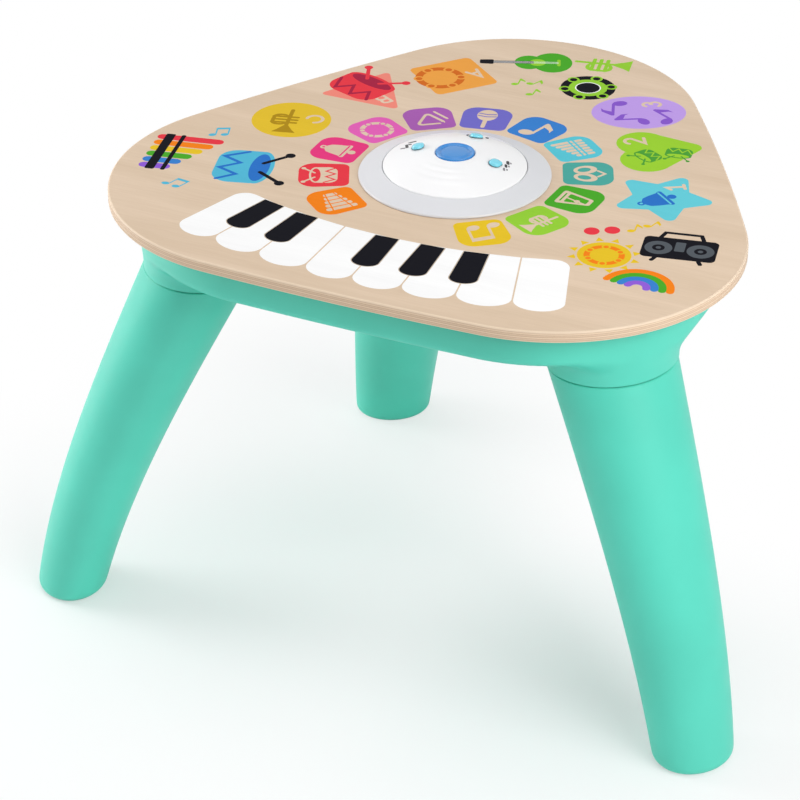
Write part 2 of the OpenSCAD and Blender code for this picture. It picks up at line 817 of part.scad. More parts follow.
// Round push button with raised rim, retaining flange and stem
module center_button() {
    rim_z = dome_z(button_r + gap) + button_proud;
    crown_reach = button_r - button_rim_w;
    stem_z = board_top + switch_h + plunger_h + button_travel + stem_gap;
    color(blue_c) in_frame() {
        translate([0, 0, button_flange_z])
            cylinder(r = button_r + button_flange_w, h = button_flange_t, $fn = 72);
        translate([0, 0, button_flange_z])
            cylinder(r = button_r, h = rim_z - button_flange_z, $fn = 72);
        translate([0, 0, rim_z - eps]) intersection() {
            cylinder(r = crown_reach, h = 2, $fn = 72);
            translate([0, 0, -sqrt(pow(button_crown_r, 2) - pow(crown_reach, 2))])
                sphere(r = button_crown_r, $fn = 180);
        }
        translate([0, 0, stem_z]) cylinder(r = stem_r, h = button_flange_z - stem_z + eps);
    }
}

// Return spring round the switch, from the board to the button's flange
module button_spring() {
    end_in = spring_wire + spring_slack;
    color(steel_c) in_frame()
        sweep(helix(spring_r, board_top + end_in, button_flange_z - end_in, spring_turns, 12),
              spring_wire, 5);
}

// Knob with a round end and a point, on the slope of the dome, and its stem
module slider(knob, point_a) {
    r = knob[0];
    surface = dome_z(r);
    slope = asin(r / dome_sphere_r);
    rotate([0, 0, knob[1]]) {
        translate([r, 0, surface]) rotate([0, slope, 0]) translate([0, 0, gap]) {
            rotate([0, 0, point_a - knob[1]]) linear_extrude(knob_t) knob_outline(0);
            translate([0, 0, knob_t - 0.5]) rotate([0, 0, point_a - knob[1]])
                linear_extrude(1) knob_outline(0.7);
        }
        foot_z = board_top + slide_floor + gap;
        translate([r - stem_w / 2, -stem_w / 2, foot_z])
            cube([stem_w, stem_w, surface + gap + 1 - foot_z]);
    }
}

// Drop-shaped outline: a circle and a point on its +X side
module knob_outline(inset) {
    r = knob_r - inset;
    reach = 1.5 * r;
    touch = acos(r / reach);
    circle(r = r, $fn = 32);
    polygon([polar(r, touch), polar(r, 180), polar(r, -touch), [reach, 0]]);
}

module mode_slider() {
    color(knob_c) in_frame() slider(left_knob, 60);
}

module power_slider() {
    color(knob_c) in_frame() slider(rear_knob, 0);
}

module volume_slider() {
    color(knob_c) in_frame() slider(right_knob, 35);
}

// Touch film glued under the plywood
module sensor_sheet() {
    color([0.85, 0.6, 0.25]) in_frame() translate([0, 0, wood_z - sheet_t])
        linear_extrude(sheet_t) difference() {
            polygon(outline(shell_plan, sheet_inset));
            circle(r = sheet_hole_r, $fn = 96);
        }
}

// Flat tail of the film, in through the wall of the housing to the board
module sensor_tail() {
    inner = board_r - 2;
    color([0.85, 0.6, 0.25]) in_frame() rotate([0, 0, tail_angle]) {
        translate([inner, -tail_w / 2, wood_z - sheet_t - tail_t - gap / 2])
            cube([sheet_hole_r + 3 - inner, tail_w, tail_t]);
        translate([inner, -tail_w / 2, wood_z - sheet_t - tail_t - gap / 2])
            cube([tail_t, tail_w, board_z - wood_z + sheet_t + tail_t + gap / 2]);
    }
}

// Speaker: pressed basket with its flange down, cone and magnet
module speaker_frame() {
    color(steel_c) in_frame() at_speaker() translate([0, 0, speaker_z]) {
        rotate_extrude($fn = 72) polygon([
            [speaker_r - 3, 0], [speaker_r, 0], [speaker_r, basket_t], [speaker_r - 2, basket_t],
            [magnet_r, speaker_h - magnet_t - 1], [magnet_r, speaker_h - magnet_t],
            [4, speaker_h - magnet_t], [4, speaker_h - magnet_t - 1],
            [magnet_r - 1, speaker_h - magnet_t - 1], [speaker_r - 3.2, basket_t + 0.4]
        ]);
    }
}

module speaker_magnet() {
    color(black_c) in_frame() at_speaker()
        translate([0, 0, speaker_z + speaker_h - magnet_t]) cylinder(r = magnet_r, h = magnet_t);
}

module speaker_cone() {
    color([0.25, 0.24, 0.24]) in_frame() at_speaker() translate([0, 0, speaker_z])
        rotate_extrude($fn = 72) polygon([
            [speaker_r - 3.6, 0.2], [speaker_r - 3.3, 0.2], [speaker_r - 3.3, 0], [speaker_r - 4.4, 0],
            [cap_r, 4.6], [0, 3.6], [0, 4.2], [cap_r - 0.2, 5.4], [speaker_r - 4.2, 0.8]
        ]);
}

module speaker_screws() {
    color(steel_c) in_frame() at_speaker()
        for (a = clip_angles)
            at_polar(clip_at, a, speaker_z + basket_t)
                mirror([0, 0, 1])
                    screw(clip_screw_r, speaker_rib + basket_t - 0.2, clip_head_r, 1.4, $fn = 24);
}

// Battery holder: a box over the cells with a flange staked to the floor
module battery_box() {
    roof_z = cell_z + cell_r + cell_gap;
    color(black_c) in_frame() difference() {
        union() {
            translate([-cavity_w / 2 - box_wall, -bay_at - cavity_l / 2 - box_wall, floor_top])
                cube([cavity_w + 2 * box_wall, cavity_l + 2 * box_wall,
                      roof_z + box_wall - floor_top]);
            translate([-door_w / 2 - 8, door_end_y - 3, floor_top])
                cube([door_w + 16, hinge_y - door_roll - gap - door_end_y + 3, box_flange]);
            translate([0, door_screw_y, floor_top])
                cylinder(r = door_boss_r, h = box_flange + 6, $fn = 32);
        }
        translate([-cavity_w / 2, -bay_at - cavity_l / 2, floor_top - 1])
            cube([cavity_w, cavity_l, roof_z - floor_top + 1]);
        translate([0, door_screw_y, floor_top - 1])
            cylinder(r = screw_r + 0.4, h = box_flange + 8, $fn = 24);
        for (x = [-1, 1], y = [-1, 1])
            translate([x * stake_x, -bay_at + y * stake_y, floor_top - 1])
                cylinder(r = stake_r + screw_gap, h = box_flange + 2, $fn = 24);
        for (s = [-1, 1])
            translate([s * (door_w / 2 + door_gap + lug_w / 2), hinge_y - 0.4, floor_top])
                cube([lug_w + 2 * gap, 2 * door_roll + 3 + 2 * gap, 2 * lug_h], center = true);
    }
}

// Nickel plates at the ends of the cavity, one behind each cell's end
module battery_contacts() {
    color(steel_c) in_frame()
        for (i = [-1:1], s = [-1, 1])
            translate([i * cell_pitch, -bay_at + s * (cavity_l - contact_t) / 2, cell_z])
                cube([contact_w, contact_t, contact_w], center = true);
}

function cell_turn(i) = i == 0 ? 180 : 0;

// Coil at the flat end of each cell; neighbours face opposite ways
module battery_springs() {
    free = cavity_l - 2 * contact_t - cell_l;
    end_in = coil_wire + spring_slack;
    color(steel_c) in_frame()
        for (i = [-1:1])
            translate([i * cell_pitch, -bay_at, cell_z]) rotate([0, 0, cell_turn(i)])
                translate([0, -cavity_l / 2 + contact_t, 0]) rotate([-90, 0, 0])
                    sweep(helix(coil_r, end_in, free - end_in, coil_turns, 9), coil_wire, 4);
}

module batteries() {
    color([0.25, 0.3, 0.36]) in_frame()
        for (i = [-1:1])
            translate([i * cell_pitch, -bay_at, cell_z]) rotate([0, 0, cell_turn(i)])
                translate([0, cavity_l / 2 - contact_t - cell_l, 0]) rotate([-90, 0, 0]) {
                    cylinder(r = cell_r, h = cell_l - nub_h);
                    cylinder(r = nub_r, h = cell_l, $fn = 24);
                }
}

// Door with a rolled hinge edge, two moulded pins and a captive screw
module battery_door() {
    color(green_c) in_frame() difference() {
        union() {
            translate([-door_w / 2, door_end_y, floor_z])
                cube([door_w, hinge_y - door_end_y, door_t]);
            translate([-door_w / 2, hinge_y, hinge_z]) rotate([0, 90, 0])
                cylinder(r = door_roll, h = door_w, $fn = 32);
            translate([-door_w / 2 - lug_w / 2, hinge_y, hinge_z]) rotate([0, 90, 0])
                cylinder(r = pin_r, h = door_w + lug_w, $fn = 24);
        }
        translate([0, door_screw_y, floor_z - 1]) {
            cylinder(r = screw_r + screw_gap, h = door_t + 2, $fn = 24);
            cylinder(r = screw_head_r + screw_gap, h = 2, $fn = 32);
        }
        for (i = [0:grip_count - 1])
            translate([-grip_w / 2, -bay_at + grip_pitch * (i - grip_count / 2 + 0.5), floor_z - 1])
                cube([grip_w, grip_t, 1 + grip_depth]);
    }
}

module door_screw() {
    color(steel_c) in_frame() translate([0, door_screw_y, floor_z + 1])
        screw(screw_r, door_t - 1 + door_screw_bite, screw_head_r, 0.8, $fn = 24);
}

// Leads from the battery box and the speaker to the board. Each point gives its place and
// its height above the floor of the shell; the last point is under the board instead.
lead_r = 1;
lead_wall_y = -56;
// Place at a share of the way from the battery box to the wall round the control unit
function lead_y(share) = lerp(bay_end_y + 0.4, lead_wall_y, share);
battery_lead = [
    [12, lead_y(0), 3.8], [12, lead_y(1 / 7), 3.4], [12, lead_y(5 / 14), 3],
    [12, lead_y(9 / 14), 3], [12, lead_wall_y, 3],
    [11.5, -44, 3], [10.5, -30, 3], [8, -16, 3], [5.4, -8.6, 4], [3.6, -5.2, 8],
    [2.6, -3.6, 14], [2.2, -2.8, 20]
];
speaker_lead = [
    [53, 63.2, 7.6], [50.5, 60, 7], [48, 57.2, 6], [45, 53.8, 4.6], [42, 50.5, 3.4],
    [38.6, 46.4, 3], [34, 41, 3], [27, 33.5, 3], [20, 26, 3], [12, 17, 3], [6.4, 9.9, 3.8],
    [3.2, 6, 7.6], [1.8, 4.4, 13], [1.2, 3.6, 20]
];

module lead(points) {
    end = points[len(points) - 1];
    sweep(concat([for (p = points) p + [0, 0, floor_top]], [[end[0], end[1], board_z - 0.6]]),
          lead_r, 8);
}

module wiring() {
    color([0.75, 0.15, 0.12]) in_frame() {
        lead(battery_lead);
        lead(speaker_lead);
    }
}

tabletop();
base_shell();
leg_front_left();
leg_front_right();
leg_rear();
leg_screws();
tabletop_screws();
control_housing();
housing_screws();
light_ring();
dome_cover();
dome_screws();
control_board();
leds();
button_switch();
slide_switches();
center_button();
button_spring();
mode_slider();
power_slider();
volume_slider();
sensor_sheet();
sensor_tail();
speaker_frame();
speaker_magnet();
speaker_cone();
speaker_screws();
battery_box();
battery_contacts();
battery_springs();
batteries();
battery_door();
door_screw();
wiring();
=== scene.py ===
"""Looks of the musical activity table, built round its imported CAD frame.

Lengths are in millimetres. Points are measured from the floor under the middle of the dome,
and new_object() moves them to the frame's origin and to metres. The keyboard side faces -Y.
"""
import math

import bmesh
import bpy
import numpy as np
import openvdb
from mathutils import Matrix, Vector
from mathutils.geometry import delaunay_2d_cdt


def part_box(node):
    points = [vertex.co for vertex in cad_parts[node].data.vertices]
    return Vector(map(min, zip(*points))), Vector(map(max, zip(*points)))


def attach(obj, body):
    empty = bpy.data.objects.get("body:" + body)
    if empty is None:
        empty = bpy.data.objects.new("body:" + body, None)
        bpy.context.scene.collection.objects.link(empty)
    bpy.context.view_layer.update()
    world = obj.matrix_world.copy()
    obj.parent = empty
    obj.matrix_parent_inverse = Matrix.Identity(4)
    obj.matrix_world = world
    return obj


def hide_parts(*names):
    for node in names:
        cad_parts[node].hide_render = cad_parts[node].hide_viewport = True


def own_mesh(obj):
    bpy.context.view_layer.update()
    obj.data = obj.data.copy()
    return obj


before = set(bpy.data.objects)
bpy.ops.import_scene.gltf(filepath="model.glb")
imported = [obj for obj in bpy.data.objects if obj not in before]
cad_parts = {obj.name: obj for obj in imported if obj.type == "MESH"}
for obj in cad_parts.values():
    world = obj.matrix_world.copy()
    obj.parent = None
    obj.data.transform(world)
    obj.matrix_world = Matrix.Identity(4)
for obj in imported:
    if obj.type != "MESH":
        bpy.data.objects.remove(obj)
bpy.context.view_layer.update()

MM = 0.001

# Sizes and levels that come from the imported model
wood_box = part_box("tabletop")
CENTRE_Y = sum(corner.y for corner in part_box("dome_cover")) / 2 / MM
TABLE_H = wood_box[1].z / MM
WOOD_Z = wood_box[0].z / MM
FLOOR_Z = 286.0
RING_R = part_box("light_ring")[1].x / MM
DOME_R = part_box("dome_cover")[1].x / MM

# Outlines of the top and of the shell: reach of a corner, reach of a side, corner radius
TOP_PLAN = (239.5, 188.0, 132.0)
SHELL_PLAN = (218.5, 170.0, 119.0)
HOLE_R = 52.0

# Base shell and legs. LEGS has the reach and the direction of each socket's middle, LEG_TOP and
# LEG_FOOT are half axes of a leg's oval, and the leans are degrees from upright.
SHELL_WALL = 2.6
WALL_LEAN = 0.5
EDGE_R = 6.0
FLARE_R = 19.0
BLEND_R = 3.0
SOCKET_H = 21.0
SEAM_Z = FLOOR_Z - SOCKET_H
SEAM_GAP = 0.6
LEGS = {"front_left": (177.5, 210.0), "front_right": (177.5, 330.0), "rear": (124.5, 126.0)}
LEG_TOP = (40.0, 46.0)
LEG_FOOT = (25.0, 29.5)
LEAN_TOP = 26.0
LEAN_FOOT = 12.0
FOOT_ROUND = 7.0
FOOT_SPARE = 0.12
LEG_WALL = 3.0
LEG_ROWS = 48
SPIGOT_H = 29.0
SPIGOT_GAP = 0.3
PAD_R = 6.5
PAD_T = 3.0
LEG_SCREW_Z = SEAM_Z + SOCKET_H / 2 - 1
LEG_SCREW_HEAD, LEG_SCREW_HOLE = 4.2, 2.6
POCKET_TOP = SEAM_Z + SPIGOT_H + 2
BOSS_R = 5.5
BOSS_INSET = 14.0
BOSS_ANGLES = (0, 30, 90, 152, 180, 246, 294)
BOSS_WEB = 5.0
TOWER_AT = 26.0
TOWER_ANGLES = (30, 150, 270)
TOWER_WEB = 1.0
TOWER_SEAT = FLOOR_Z + SHELL_WALL + TOWER_WEB
TOWER_TOP = TABLE_H - 20.0
SCREW_HEAD_R = 3.4
SPEAKER_AT, SPEAKER_ANGLE = 100.0, 50.0
GRILLE_R, GRILLE_PITCH, GRILLE_SLOT = 20.0, 7.0, 3.0
DOOR_HALF_W, DOOR_GAP = 26.0, 0.4


# ---------------------------------------------------------------- shapes in the plane

def lerp(a, b, t):
    return a + (b - a) * t


def polar(r, angle):
    """Point at distance r in the direction angle, in degrees from +X."""
    return np.array((r * math.cos(math.radians(angle)), r * math.sin(math.radians(angle))))


def arc(centre, r, start, end, steps):
    """Points on an arc, from start to end in degrees, both ends included."""
    return [np.array(centre) + polar(r, lerp(start, end, i / steps)) for i in range(steps + 1)]


def disc(centre, r, steps=48):
    return arc(centre, r, 0, 360, steps)[:-1]


def oval(centre, rx, ry, turn=0.0, steps=64):
    return [np.array(centre) + turned((rx * math.cos(a), ry * math.sin(a)), turn)
            for a in np.linspace(0, 2 * math.pi, steps, endpoint=False)]


def turned(point, angle):
    c, s = math.cos(math.radians(angle)), math.sin(math.radians(angle))
    return np.array((point[0] * c - point[1] * s, point[0] * s + point[1] * c))


def rounded(corners, radii, steps=10):
    """Polygon with each corner rounded by its own radius; radii may be one number."""
    count = len(corners)
    if not hasattr(radii, "__len__"):
        radii = [radii] * count
    out = []
    for i in range(count):
        at = np.array(corners[i], float)
        back = np.array(corners[i - 1], float) - at
        on = np.array(corners[(i + 1) % count], float) - at
        back /= np.linalg.norm(back)
        on /= np.linalg.norm(on)
        if radii[i] < 0.01:
            out.append(at)
            continue
        half = math.acos(np.clip(back @ on, -1, 1)) / 2
        middle = (back + on) / np.linalg.norm(back + on)
        centre = at + middle * radii[i] / math.sin(half)
        first = at + back * radii[i] / math.tan(half) - centre
        last = at + on * radii[i] / math.tan(half) - centre
        a0 = math.degrees(math.atan2(first[1], first[0]))
        sweep = math.degrees(math.atan2(last[1], last[0])) - a0
        sweep = (sweep + 180) % 360 - 180
        out += arc(centre, radii[i], a0, a0 + sweep, steps)
    return out


def stroke(points, width, steps=6):
    """Outline of a line of the given width with round ends, along a few points."""
    points = [np.array(p, float) for p in points]
    r = width / 2
    left, right = [], []
    last = len(points) - 1
    for i, at in enumerate(points):
        way_in = points[i] - points[max(i - 1, 0)]
        way_out = points[min(i + 1, last)] - points[i]
        way = [w / np.linalg.norm(w) for w in (way_in, way_out) if np.linalg.norm(w) > 1e-9]
        middle = sum(way) / np.linalg.norm(sum(way))
        reach = r / max(0.4, middle @ way[0])
        side = np.array((-middle[1], middle[0])) * reach
        left.append(at + side)
        right.append(at - side)
    start = math.degrees(math.atan2(*(left[0] - points[0])[::-1]))
    end = math.degrees(math.atan2(*(right[-1] - points[-1])[::-1]))
    return (left[:-1] + arc(points[-1], r, end + 180, end, steps)
            + right[-2:0:-1] + arc(points[0], r, start + 180, start, steps))


def plan_arcs(plan):
    """Middle and radius of a plan's corner arcs and side arcs, and the angle where they meet."""
    tip, side, corner_r = plan
    corner_at, side_in = tip - corner_r, side - corner_r
    side_at = (side_in ** 2 - corner_at ** 2) / (corner_at - 2 * side_in)
    join = math.atan2(side_at * math.sin(math.pi / 3), corner_at + side_at * math.cos(math.pi / 3))
    return corner_at, corner_r, side_at, side_at + side, join


def outline(inset, plan=TOP_PLAN, corner_steps=44, side_steps=16):
    """Closed outline of a plan, moved inwards by inset."""
    corner_at, corner_r, side_at, side_r, join = plan_arcs(plan)
    join = math.degrees(join)
    out = []
    for tip in (90, 210, 330):
        out += arc(polar(corner_at, tip), corner_r - inset, tip - join, tip + join, corner_steps)
        side = arc(polar(side_at, tip + 240), side_r - inset, tip + join, tip + 120 - join,
                   side_steps)
        out += side[1:-1]
    return np.array(out)


def plan_distance(x, y, plan):
    """Distance from the outline of a plan, negative inside, for arrays of points."""
    corner_at, corner_r, side_at, side_r, join = plan_arcs(plan)
    angle = np.mod(np.arctan2(y, x) - math.pi / 2, 2 * math.pi / 3)
    angle = np.where(angle > math.pi / 3, 2 * math.pi / 3 - angle, angle)
    r = np.hypot(x, y)
    along, across = r * np.cos(angle), r * np.sin(angle)
    corner = np.hypot(along - corner_at, across) - corner_r
    turn = math.pi / 3
    side_along = along * math.cos(turn) + across * math.sin(turn)
    side_across = -along * math.sin(turn) + across * math.cos(turn)
    side = np.hypot(side_along + side_at, side_across) - side_r
    at_corner = (np.arctan2(across, along - corner_at) < join) & (along > corner_at)
    return np.where(at_corner, corner, side)


def rim_r(angle, inset):
    """Distance from the middle to the shell's wall in one direction, moved in by inset."""
    low, high = 100.0, 240.0
    for _ in range(30):
        middle = (low + high) / 2
        x, y = polar(middle, angle)
        if plan_distance(np.array([x]), np.array([y]), SHELL_PLAN)[0] < -inset:
            low = middle
        else:
            high = middle
    return low


BOSSES = [polar(rim_r(a, BOSS_INSET), a) for a in BOSS_ANGLES]
TOWERS = [polar(TOWER_AT, a) for a in TOWER_ANGLES]


# ---------------------------------------------------------------- meshes

def flat_ring(points, z):
    return np.array([(p[0], p[1], z) for p in points])


def oval_ring(x, z, rx, ry, steps=112):
    a = np.linspace(0, 2 * math.pi, steps, endpoint=False)
    return np.stack((x + rx * np.cos(a), ry * np.sin(a), np.full(steps, z)), 1)


def loft(rings, caps=True, closed=False):
    """Points and faces of a skin through rings that run anticlockwise, lowest first."""
    count, rows = len(rings[0]), len(rings)
    faces = []
    for k in range(rows if closed else rows - 1):
        low, high = k * count, (k + 1) % rows * count
        for i in range(count):
            j = (i + 1) % count
            faces.append((low + i, low + j, high + j, high + i))
    if caps and not closed:
        faces.append(tuple(reversed(range(count))))
        faces.append(tuple((rows - 1) * count + i for i in range(count)))
    return np.concatenate(rings), faces


def lathe(profile, steps=192):
    """Solid turned about the Z axis from a closed profile of (radius, height) points."""
    rings = [oval_ring(0, z, max(r, 0.0), max(r, 0.0), steps) for r, z in profile]
    return loft(rings, closed=True)


def new_object(name, points, faces, materials=(), slots=None):
    """Mesh object from points in millimetres about the middle of the dome."""
    mesh = bpy.data.meshes.new(name)
    at = (np.asarray(points, float) + (0, CENTRE_Y, 0)) * MM
    mesh.from_pydata(at.tolist(), [], [tuple(int(v) for v in f) for f in faces])
    for material in materials:
        mesh.materials.append(material)
    if slots is not None:
        mesh.polygons.foreach_set("material_index", slots)
    made = bpy.data.objects.new(name, mesh)
    bpy.context.scene.collection.objects.link(made)
    clean = bmesh.new()
    clean.from_mesh(mesh)
    bmesh.ops.remove_doubles(clean, verts=clean.verts, dist=0.0005 * MM)
    bmesh.ops.recalc_face_normals(clean, faces=clean.faces)
    clean.to_mesh(mesh)
    clean.free()
    return made


def finish_piece(made, body, replaced=(), sharp=30.0):
    """Smooth shading up to the angle sharp, and the piece's place in the frame."""
    made.data.shade_smooth()
    made.data.set_sharp_from_angle(angle=math.radians(sharp))
    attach(made, body)
    if replaced:
        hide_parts(*replaced)
    return made


def combine(target, tools, operation="DIFFERENCE"):
    """Applies a boolean of target with each tool, and deletes the tools."""
    own = len(target.data.materials)
    for tool in tools:
        step = target.modifiers.new("step", "BOOLEAN")
        step.operation = operation
        step.solver = "MANIFOLD"
        step.object = tool
        graph = bpy.context.evaluated_depsgraph_get()
        mesh = bpy.data.meshes.new_from_object(target.evaluated_get(graph))
        target.modifiers.clear()
        old = target.data
        target.data = mesh
        bpy.data.meshes.remove(old)
        bpy.data.objects.remove(tool)
    while len(target.data.materials) > own:
        target.data.materials.pop()
    return target


def prism(points, z0, z1):
    """Upright prism over a closed outline, as points and faces."""
    return loft([flat_ring(points, z0), flat_ring(points, z1)])


# ---------------------------------------------------------------- materials

def linear(rgb):
    """Scene colour of an 8-bit sRGB colour."""
    steps = [v / 255 for v in rgb]
    return tuple(c / 12.92 if c <= 0.04045 else ((c + 0.055) / 1.055) ** 2.4 for c in steps) + (1,)


class Finish:
    """A node material with a Principled shader, and short calls that add its nodes."""

    def __init__(self, name):
        self.material = bpy.data.materials.new(name)
        self.material.use_nodes = True
        self.tree = self.material.node_tree
        self.shader = self.tree.nodes["Principled BSDF"]
        self.place = self.add("TexCoord").outputs["Object"]

    def add(self, kind, inputs=None, **settings):
        node = self.tree.nodes.new("ShaderNode" + kind)
        for key, value in settings.items():
            setattr(node, key, value)
        for key, value in (inputs or {}).items():
            self.put(node, key, value)
        return node

    def put(self, node, key, value):
        if isinstance(value, bpy.types.NodeSocket):
            self.tree.links.new(value, node.inputs[key])
        else:
            node.inputs[key].default_value = value

    def set(self, **values):
        """Sets shader sockets, with underscores for spaces."""
        for key, value in values.items():
            self.put(self.shader, key.replace("_", " "), value)
        return self

    def noise(self, scale, detail=2.0, stretch=(1, 1, 1), rough=0.5, distortion=0.0):
        """Noise from 0 to 1 with scale features per metre, stretched along the axes."""
        place = self.add("Mapping", {"Vector": self.place, "Scale": stretch}).outputs[0]
        return self.add("TexNoise", {"Vector": place, "Scale": scale, "Detail": detail,
                                     "Roughness": rough, "Distortion": distortion}).outputs["Fac"]

    def spread(self, value, low, high, low_out=0.0, high_out=1.0):
        return self.add("MapRange", {"Value": value, "From Min": low, "From Max": high,
                                     "To Min": low_out, "To Max": high_out}).outputs[0]

    def mix(self, amount, a, b, blend="MIX"):
        node = self.add("Mix", data_type="RGBA", blend_type=blend)
        self.put(node, 0, amount)
        self.put(node, 6, a)
        self.put(node, 7, b)
        return node.outputs[2]

    def bump(self, height, strength, distance, normal=None):
        inputs = {"Height": height, "Strength": strength, "Distance": distance * MM}
        if normal is not None:
            inputs["Normal"] = normal
        return self.add("Bump", inputs).outputs[0]


def shaded(rgb, factor):
    """The 8-bit colour rgb made darker or lighter by factor."""
    return tuple(min(255, v * factor) for v in rgb)


def plastic(name, rgb, rough=0.42, grain=0.25, grain_scale=1400, coat=0.0, vary=0.03, level=0.5):
    """Moulded plastic: faint clouding, a fine spark-eroded texture and uneven gloss."""
    f = Finish(name)
    cloud = f.noise(14, 3)
    colour = f.mix(f.spread(cloud, 0.3, 0.7), linear(shaded(rgb, 1 - vary)),
                   linear(shaded(rgb, 1 + vary)))
    fine = f.noise(grain_scale, 2)
    gloss = f.spread(f.noise(60, 4), 0.3, 0.7, rough - 0.04, rough + 0.05)
    return f.set(Base_Color=colour, Roughness=gloss, Coat_Weight=coat, Coat_Roughness=0.08,
                 Specular_IOR_Level=level, Normal=f.bump(fine, grain, 0.05)).material


def metal(name, rgb, rough=0.32, lines=(1, 1, 1)):
    """Plated or drawn metal with fine marks along one way."""
    f = Finish(name)
    marks = f.noise(900, 3, lines)
    colour = f.mix(f.spread(f.noise(40, 3), 0.3, 0.7), linear(shaded(rgb, 0.93)),
                   linear(shaded(rgb, 1.03)))
    gloss = f.spread(marks, 0.3, 0.7, rough - 0.08, rough + 0.1)
    return f.set(Base_Color=colour, Metallic=1.0, Roughness=gloss,
                 Normal=f.bump(marks, 0.2, 0.03)).material


WOOD = (222, 198, 171)
GRAIN_STRETCH = (1, 26, 26)


def wood_grain(f):
    """Height of fine open grain that runs along X, and a slower figure, both 0 to 1."""
    fine = f.noise(34, 5, GRAIN_STRETCH, 0.62, 0.15)
    figure = f.noise(5.5, 3, (1, 7, 7), 0.5, 0.9)
    return fine, figure


def wood_face():
    """Lacquered birch veneer: long fine grain, short flecks and soft pale bands."""
    f = Finish("birch_face")
    fine, figure = wood_grain(f)
    flecks = f.noise(150, 2, (1, 9, 9), 0.5)
    colour = f.mix(f.spread(figure, 0.35, 0.65), linear(shaded(WOOD, 0.97)),
                   linear((224, 201, 176)))
    colour = f.mix(f.spread(fine, 0.42, 0.6, 0.0, 0.22), colour, linear((206, 179, 152)))
    colour = f.mix(f.spread(flecks, 0.62, 0.75, 0.0, 0.14), colour, linear((198, 170, 141)))
    gloss = f.spread(fine, 0.3, 0.7, 0.4, 0.5)
    return f.set(Base_Color=colour, Roughness=gloss, Specular_IOR_Level=0.2,
                 Normal=f.bump(fine, 0.16, 0.06)).material


def wood_edge():
    """Cut edge of the plywood: plies of long grain and end grain between dark glue lines, under a
    pale face veneer that is also a painted highlight of the round top edge.
    """
    f = Finish("birch_edge")
    plies = 6
    height = f.add("SeparateXYZ", {"Vector": f.place}).outputs["Z"]
    wave = f.spread(f.noise(9, 2, (1, 1, 0.2)), 0.3, 0.7, -0.06, 0.06)
    level = f.spread(height, WOOD_Z * MM, TABLE_H * MM, 0.0, plies / 2)
    level = f.add("Math", {0: level, 1: wave}, operation="ADD").outputs[0]
    saw = f.add("Math", {0: level}, operation="FRACT").outputs[0]
    ramp = f.add("ValToRGB", {"Fac": saw})
    ramp.color_ramp.interpolation = "LINEAR"
    stops = [(0.0, (180, 138, 106)), (0.07, (228, 204, 177)), (0.43, (232, 210, 184)),
             (0.5, (180, 138, 106)), (0.57, (220, 193, 165)), (0.93, (224, 199, 172)),
             (1.0, (180, 138, 106))]
    points = ramp.color_ramp.elements
    while len(points) < len(stops):
        points.new(0.5)
    for point, (at, rgb) in zip(points, stops):
        point.position = at
        point.color = linear(rgb)
    speckle = f.noise(700, 3, (1, 1, 3))
    colour = f.mix(f.spread(speckle, 0.35, 0.75, 0.0, 0.16), ramp.outputs[0],
                   linear((214, 184, 152)), "MULTIPLY")
    # Pale top band: the face veneer's own colour, and also a painted highlight along the rounded
    # top edge
    veneer = f.spread(height, (TABLE_H - 1.5) * MM, (TABLE_H - 0.9) * MM)
    colour = f.mix(veneer, colour, linear((232, 210, 185)))
    return f.set(Base_Color=colour, Roughness=0.5, Specular_IOR_Level=0.25,
                 Normal=f.bump(speckle, 0.3, 0.08)).material


def ink(name, rgb):
    """Screen print on the veneer: flat colour through which the grain just shows."""
    f = Finish("ink_" + name)
    fine, figure = wood_grain(f)
    colour = f.mix(f.spread(figure, 0.35, 0.65), linear(shaded(rgb, 0.985)), linear(rgb))
    colour = f.mix(f.spread(fine, 0.45, 0.65, 0.0, 0.1), colour, linear(shaded(rgb, 0.9)))
    gloss = f.spread(fine, 0.3, 0.7, 0.38, 0.46)
    return f.set(Base_Color=colour, Roughness=gloss, Specular_IOR_Level=0.01,
                 Normal=f.bump(fine, 0.08, 0.05)).material


GREEN = (86, 210, 187)
green = plastic("green_plastic", GREEN, rough=0.4, grain=0.3, vary=0.02, level=0.4)
white = plastic("white_plastic", (245, 245, 246), rough=0.34, grain=0.05, coat=0.1, vary=0.01,
                level=0.35)
ring_grey = plastic("ring_plastic", (218, 219, 223), rough=0.34, grain=0.06, vary=0.01,
                    level=0.35)
blue = plastic("blue_plastic", (46, 134, 206), rough=0.24, grain=0.06, coat=0.3, vary=0.02,
               level=0.4)
turquoise = plastic("knob_plastic", (118, 212, 232), rough=0.22, grain=0.05, coat=0.3)
# Dark teal on each knob's lowest rows: a painted shadow of the gap between the knob and the dome
knob_painted_shadow = plastic("knob_painted_shadow", (52, 112, 124), rough=0.3, grain=0.05)
black = plastic("black_plastic", (34, 34, 38), rough=0.5, grain=0.35)
mark_black = plastic("mark_black", (34, 34, 38), rough=0.5, grain=0.05)
mark_grey = plastic("mark_grey", (140, 136, 140), rough=0.5, grain=0.05)
steel = metal("zinc_steel", (186, 188, 192))
nickel = metal("nickel", (205, 200, 188), 0.22)
magnet = plastic("ferrite", (48, 48, 52), rough=0.6, grain=0.5)
board = plastic("solder_mask", (26, 104, 62), rough=0.3, grain=0.15)
resin = plastic("led_resin", (236, 236, 224), rough=0.15, grain=0.02, coat=0.4)
film = plastic("sensor_film", (205, 142, 58), rough=0.3, grain=0.1)
paper = plastic("speaker_paper", (58, 56, 55), rough=0.9, grain=0.6, grain_scale=600)
jacket = plastic("cell_jacket", (60, 72, 84), rough=0.3, grain=0.05)
wire_red = plastic("wire_jacket", (186, 42, 34), rough=0.5, grain=0.1)
face_wood = wood_face()
edge_wood = wood_edge()

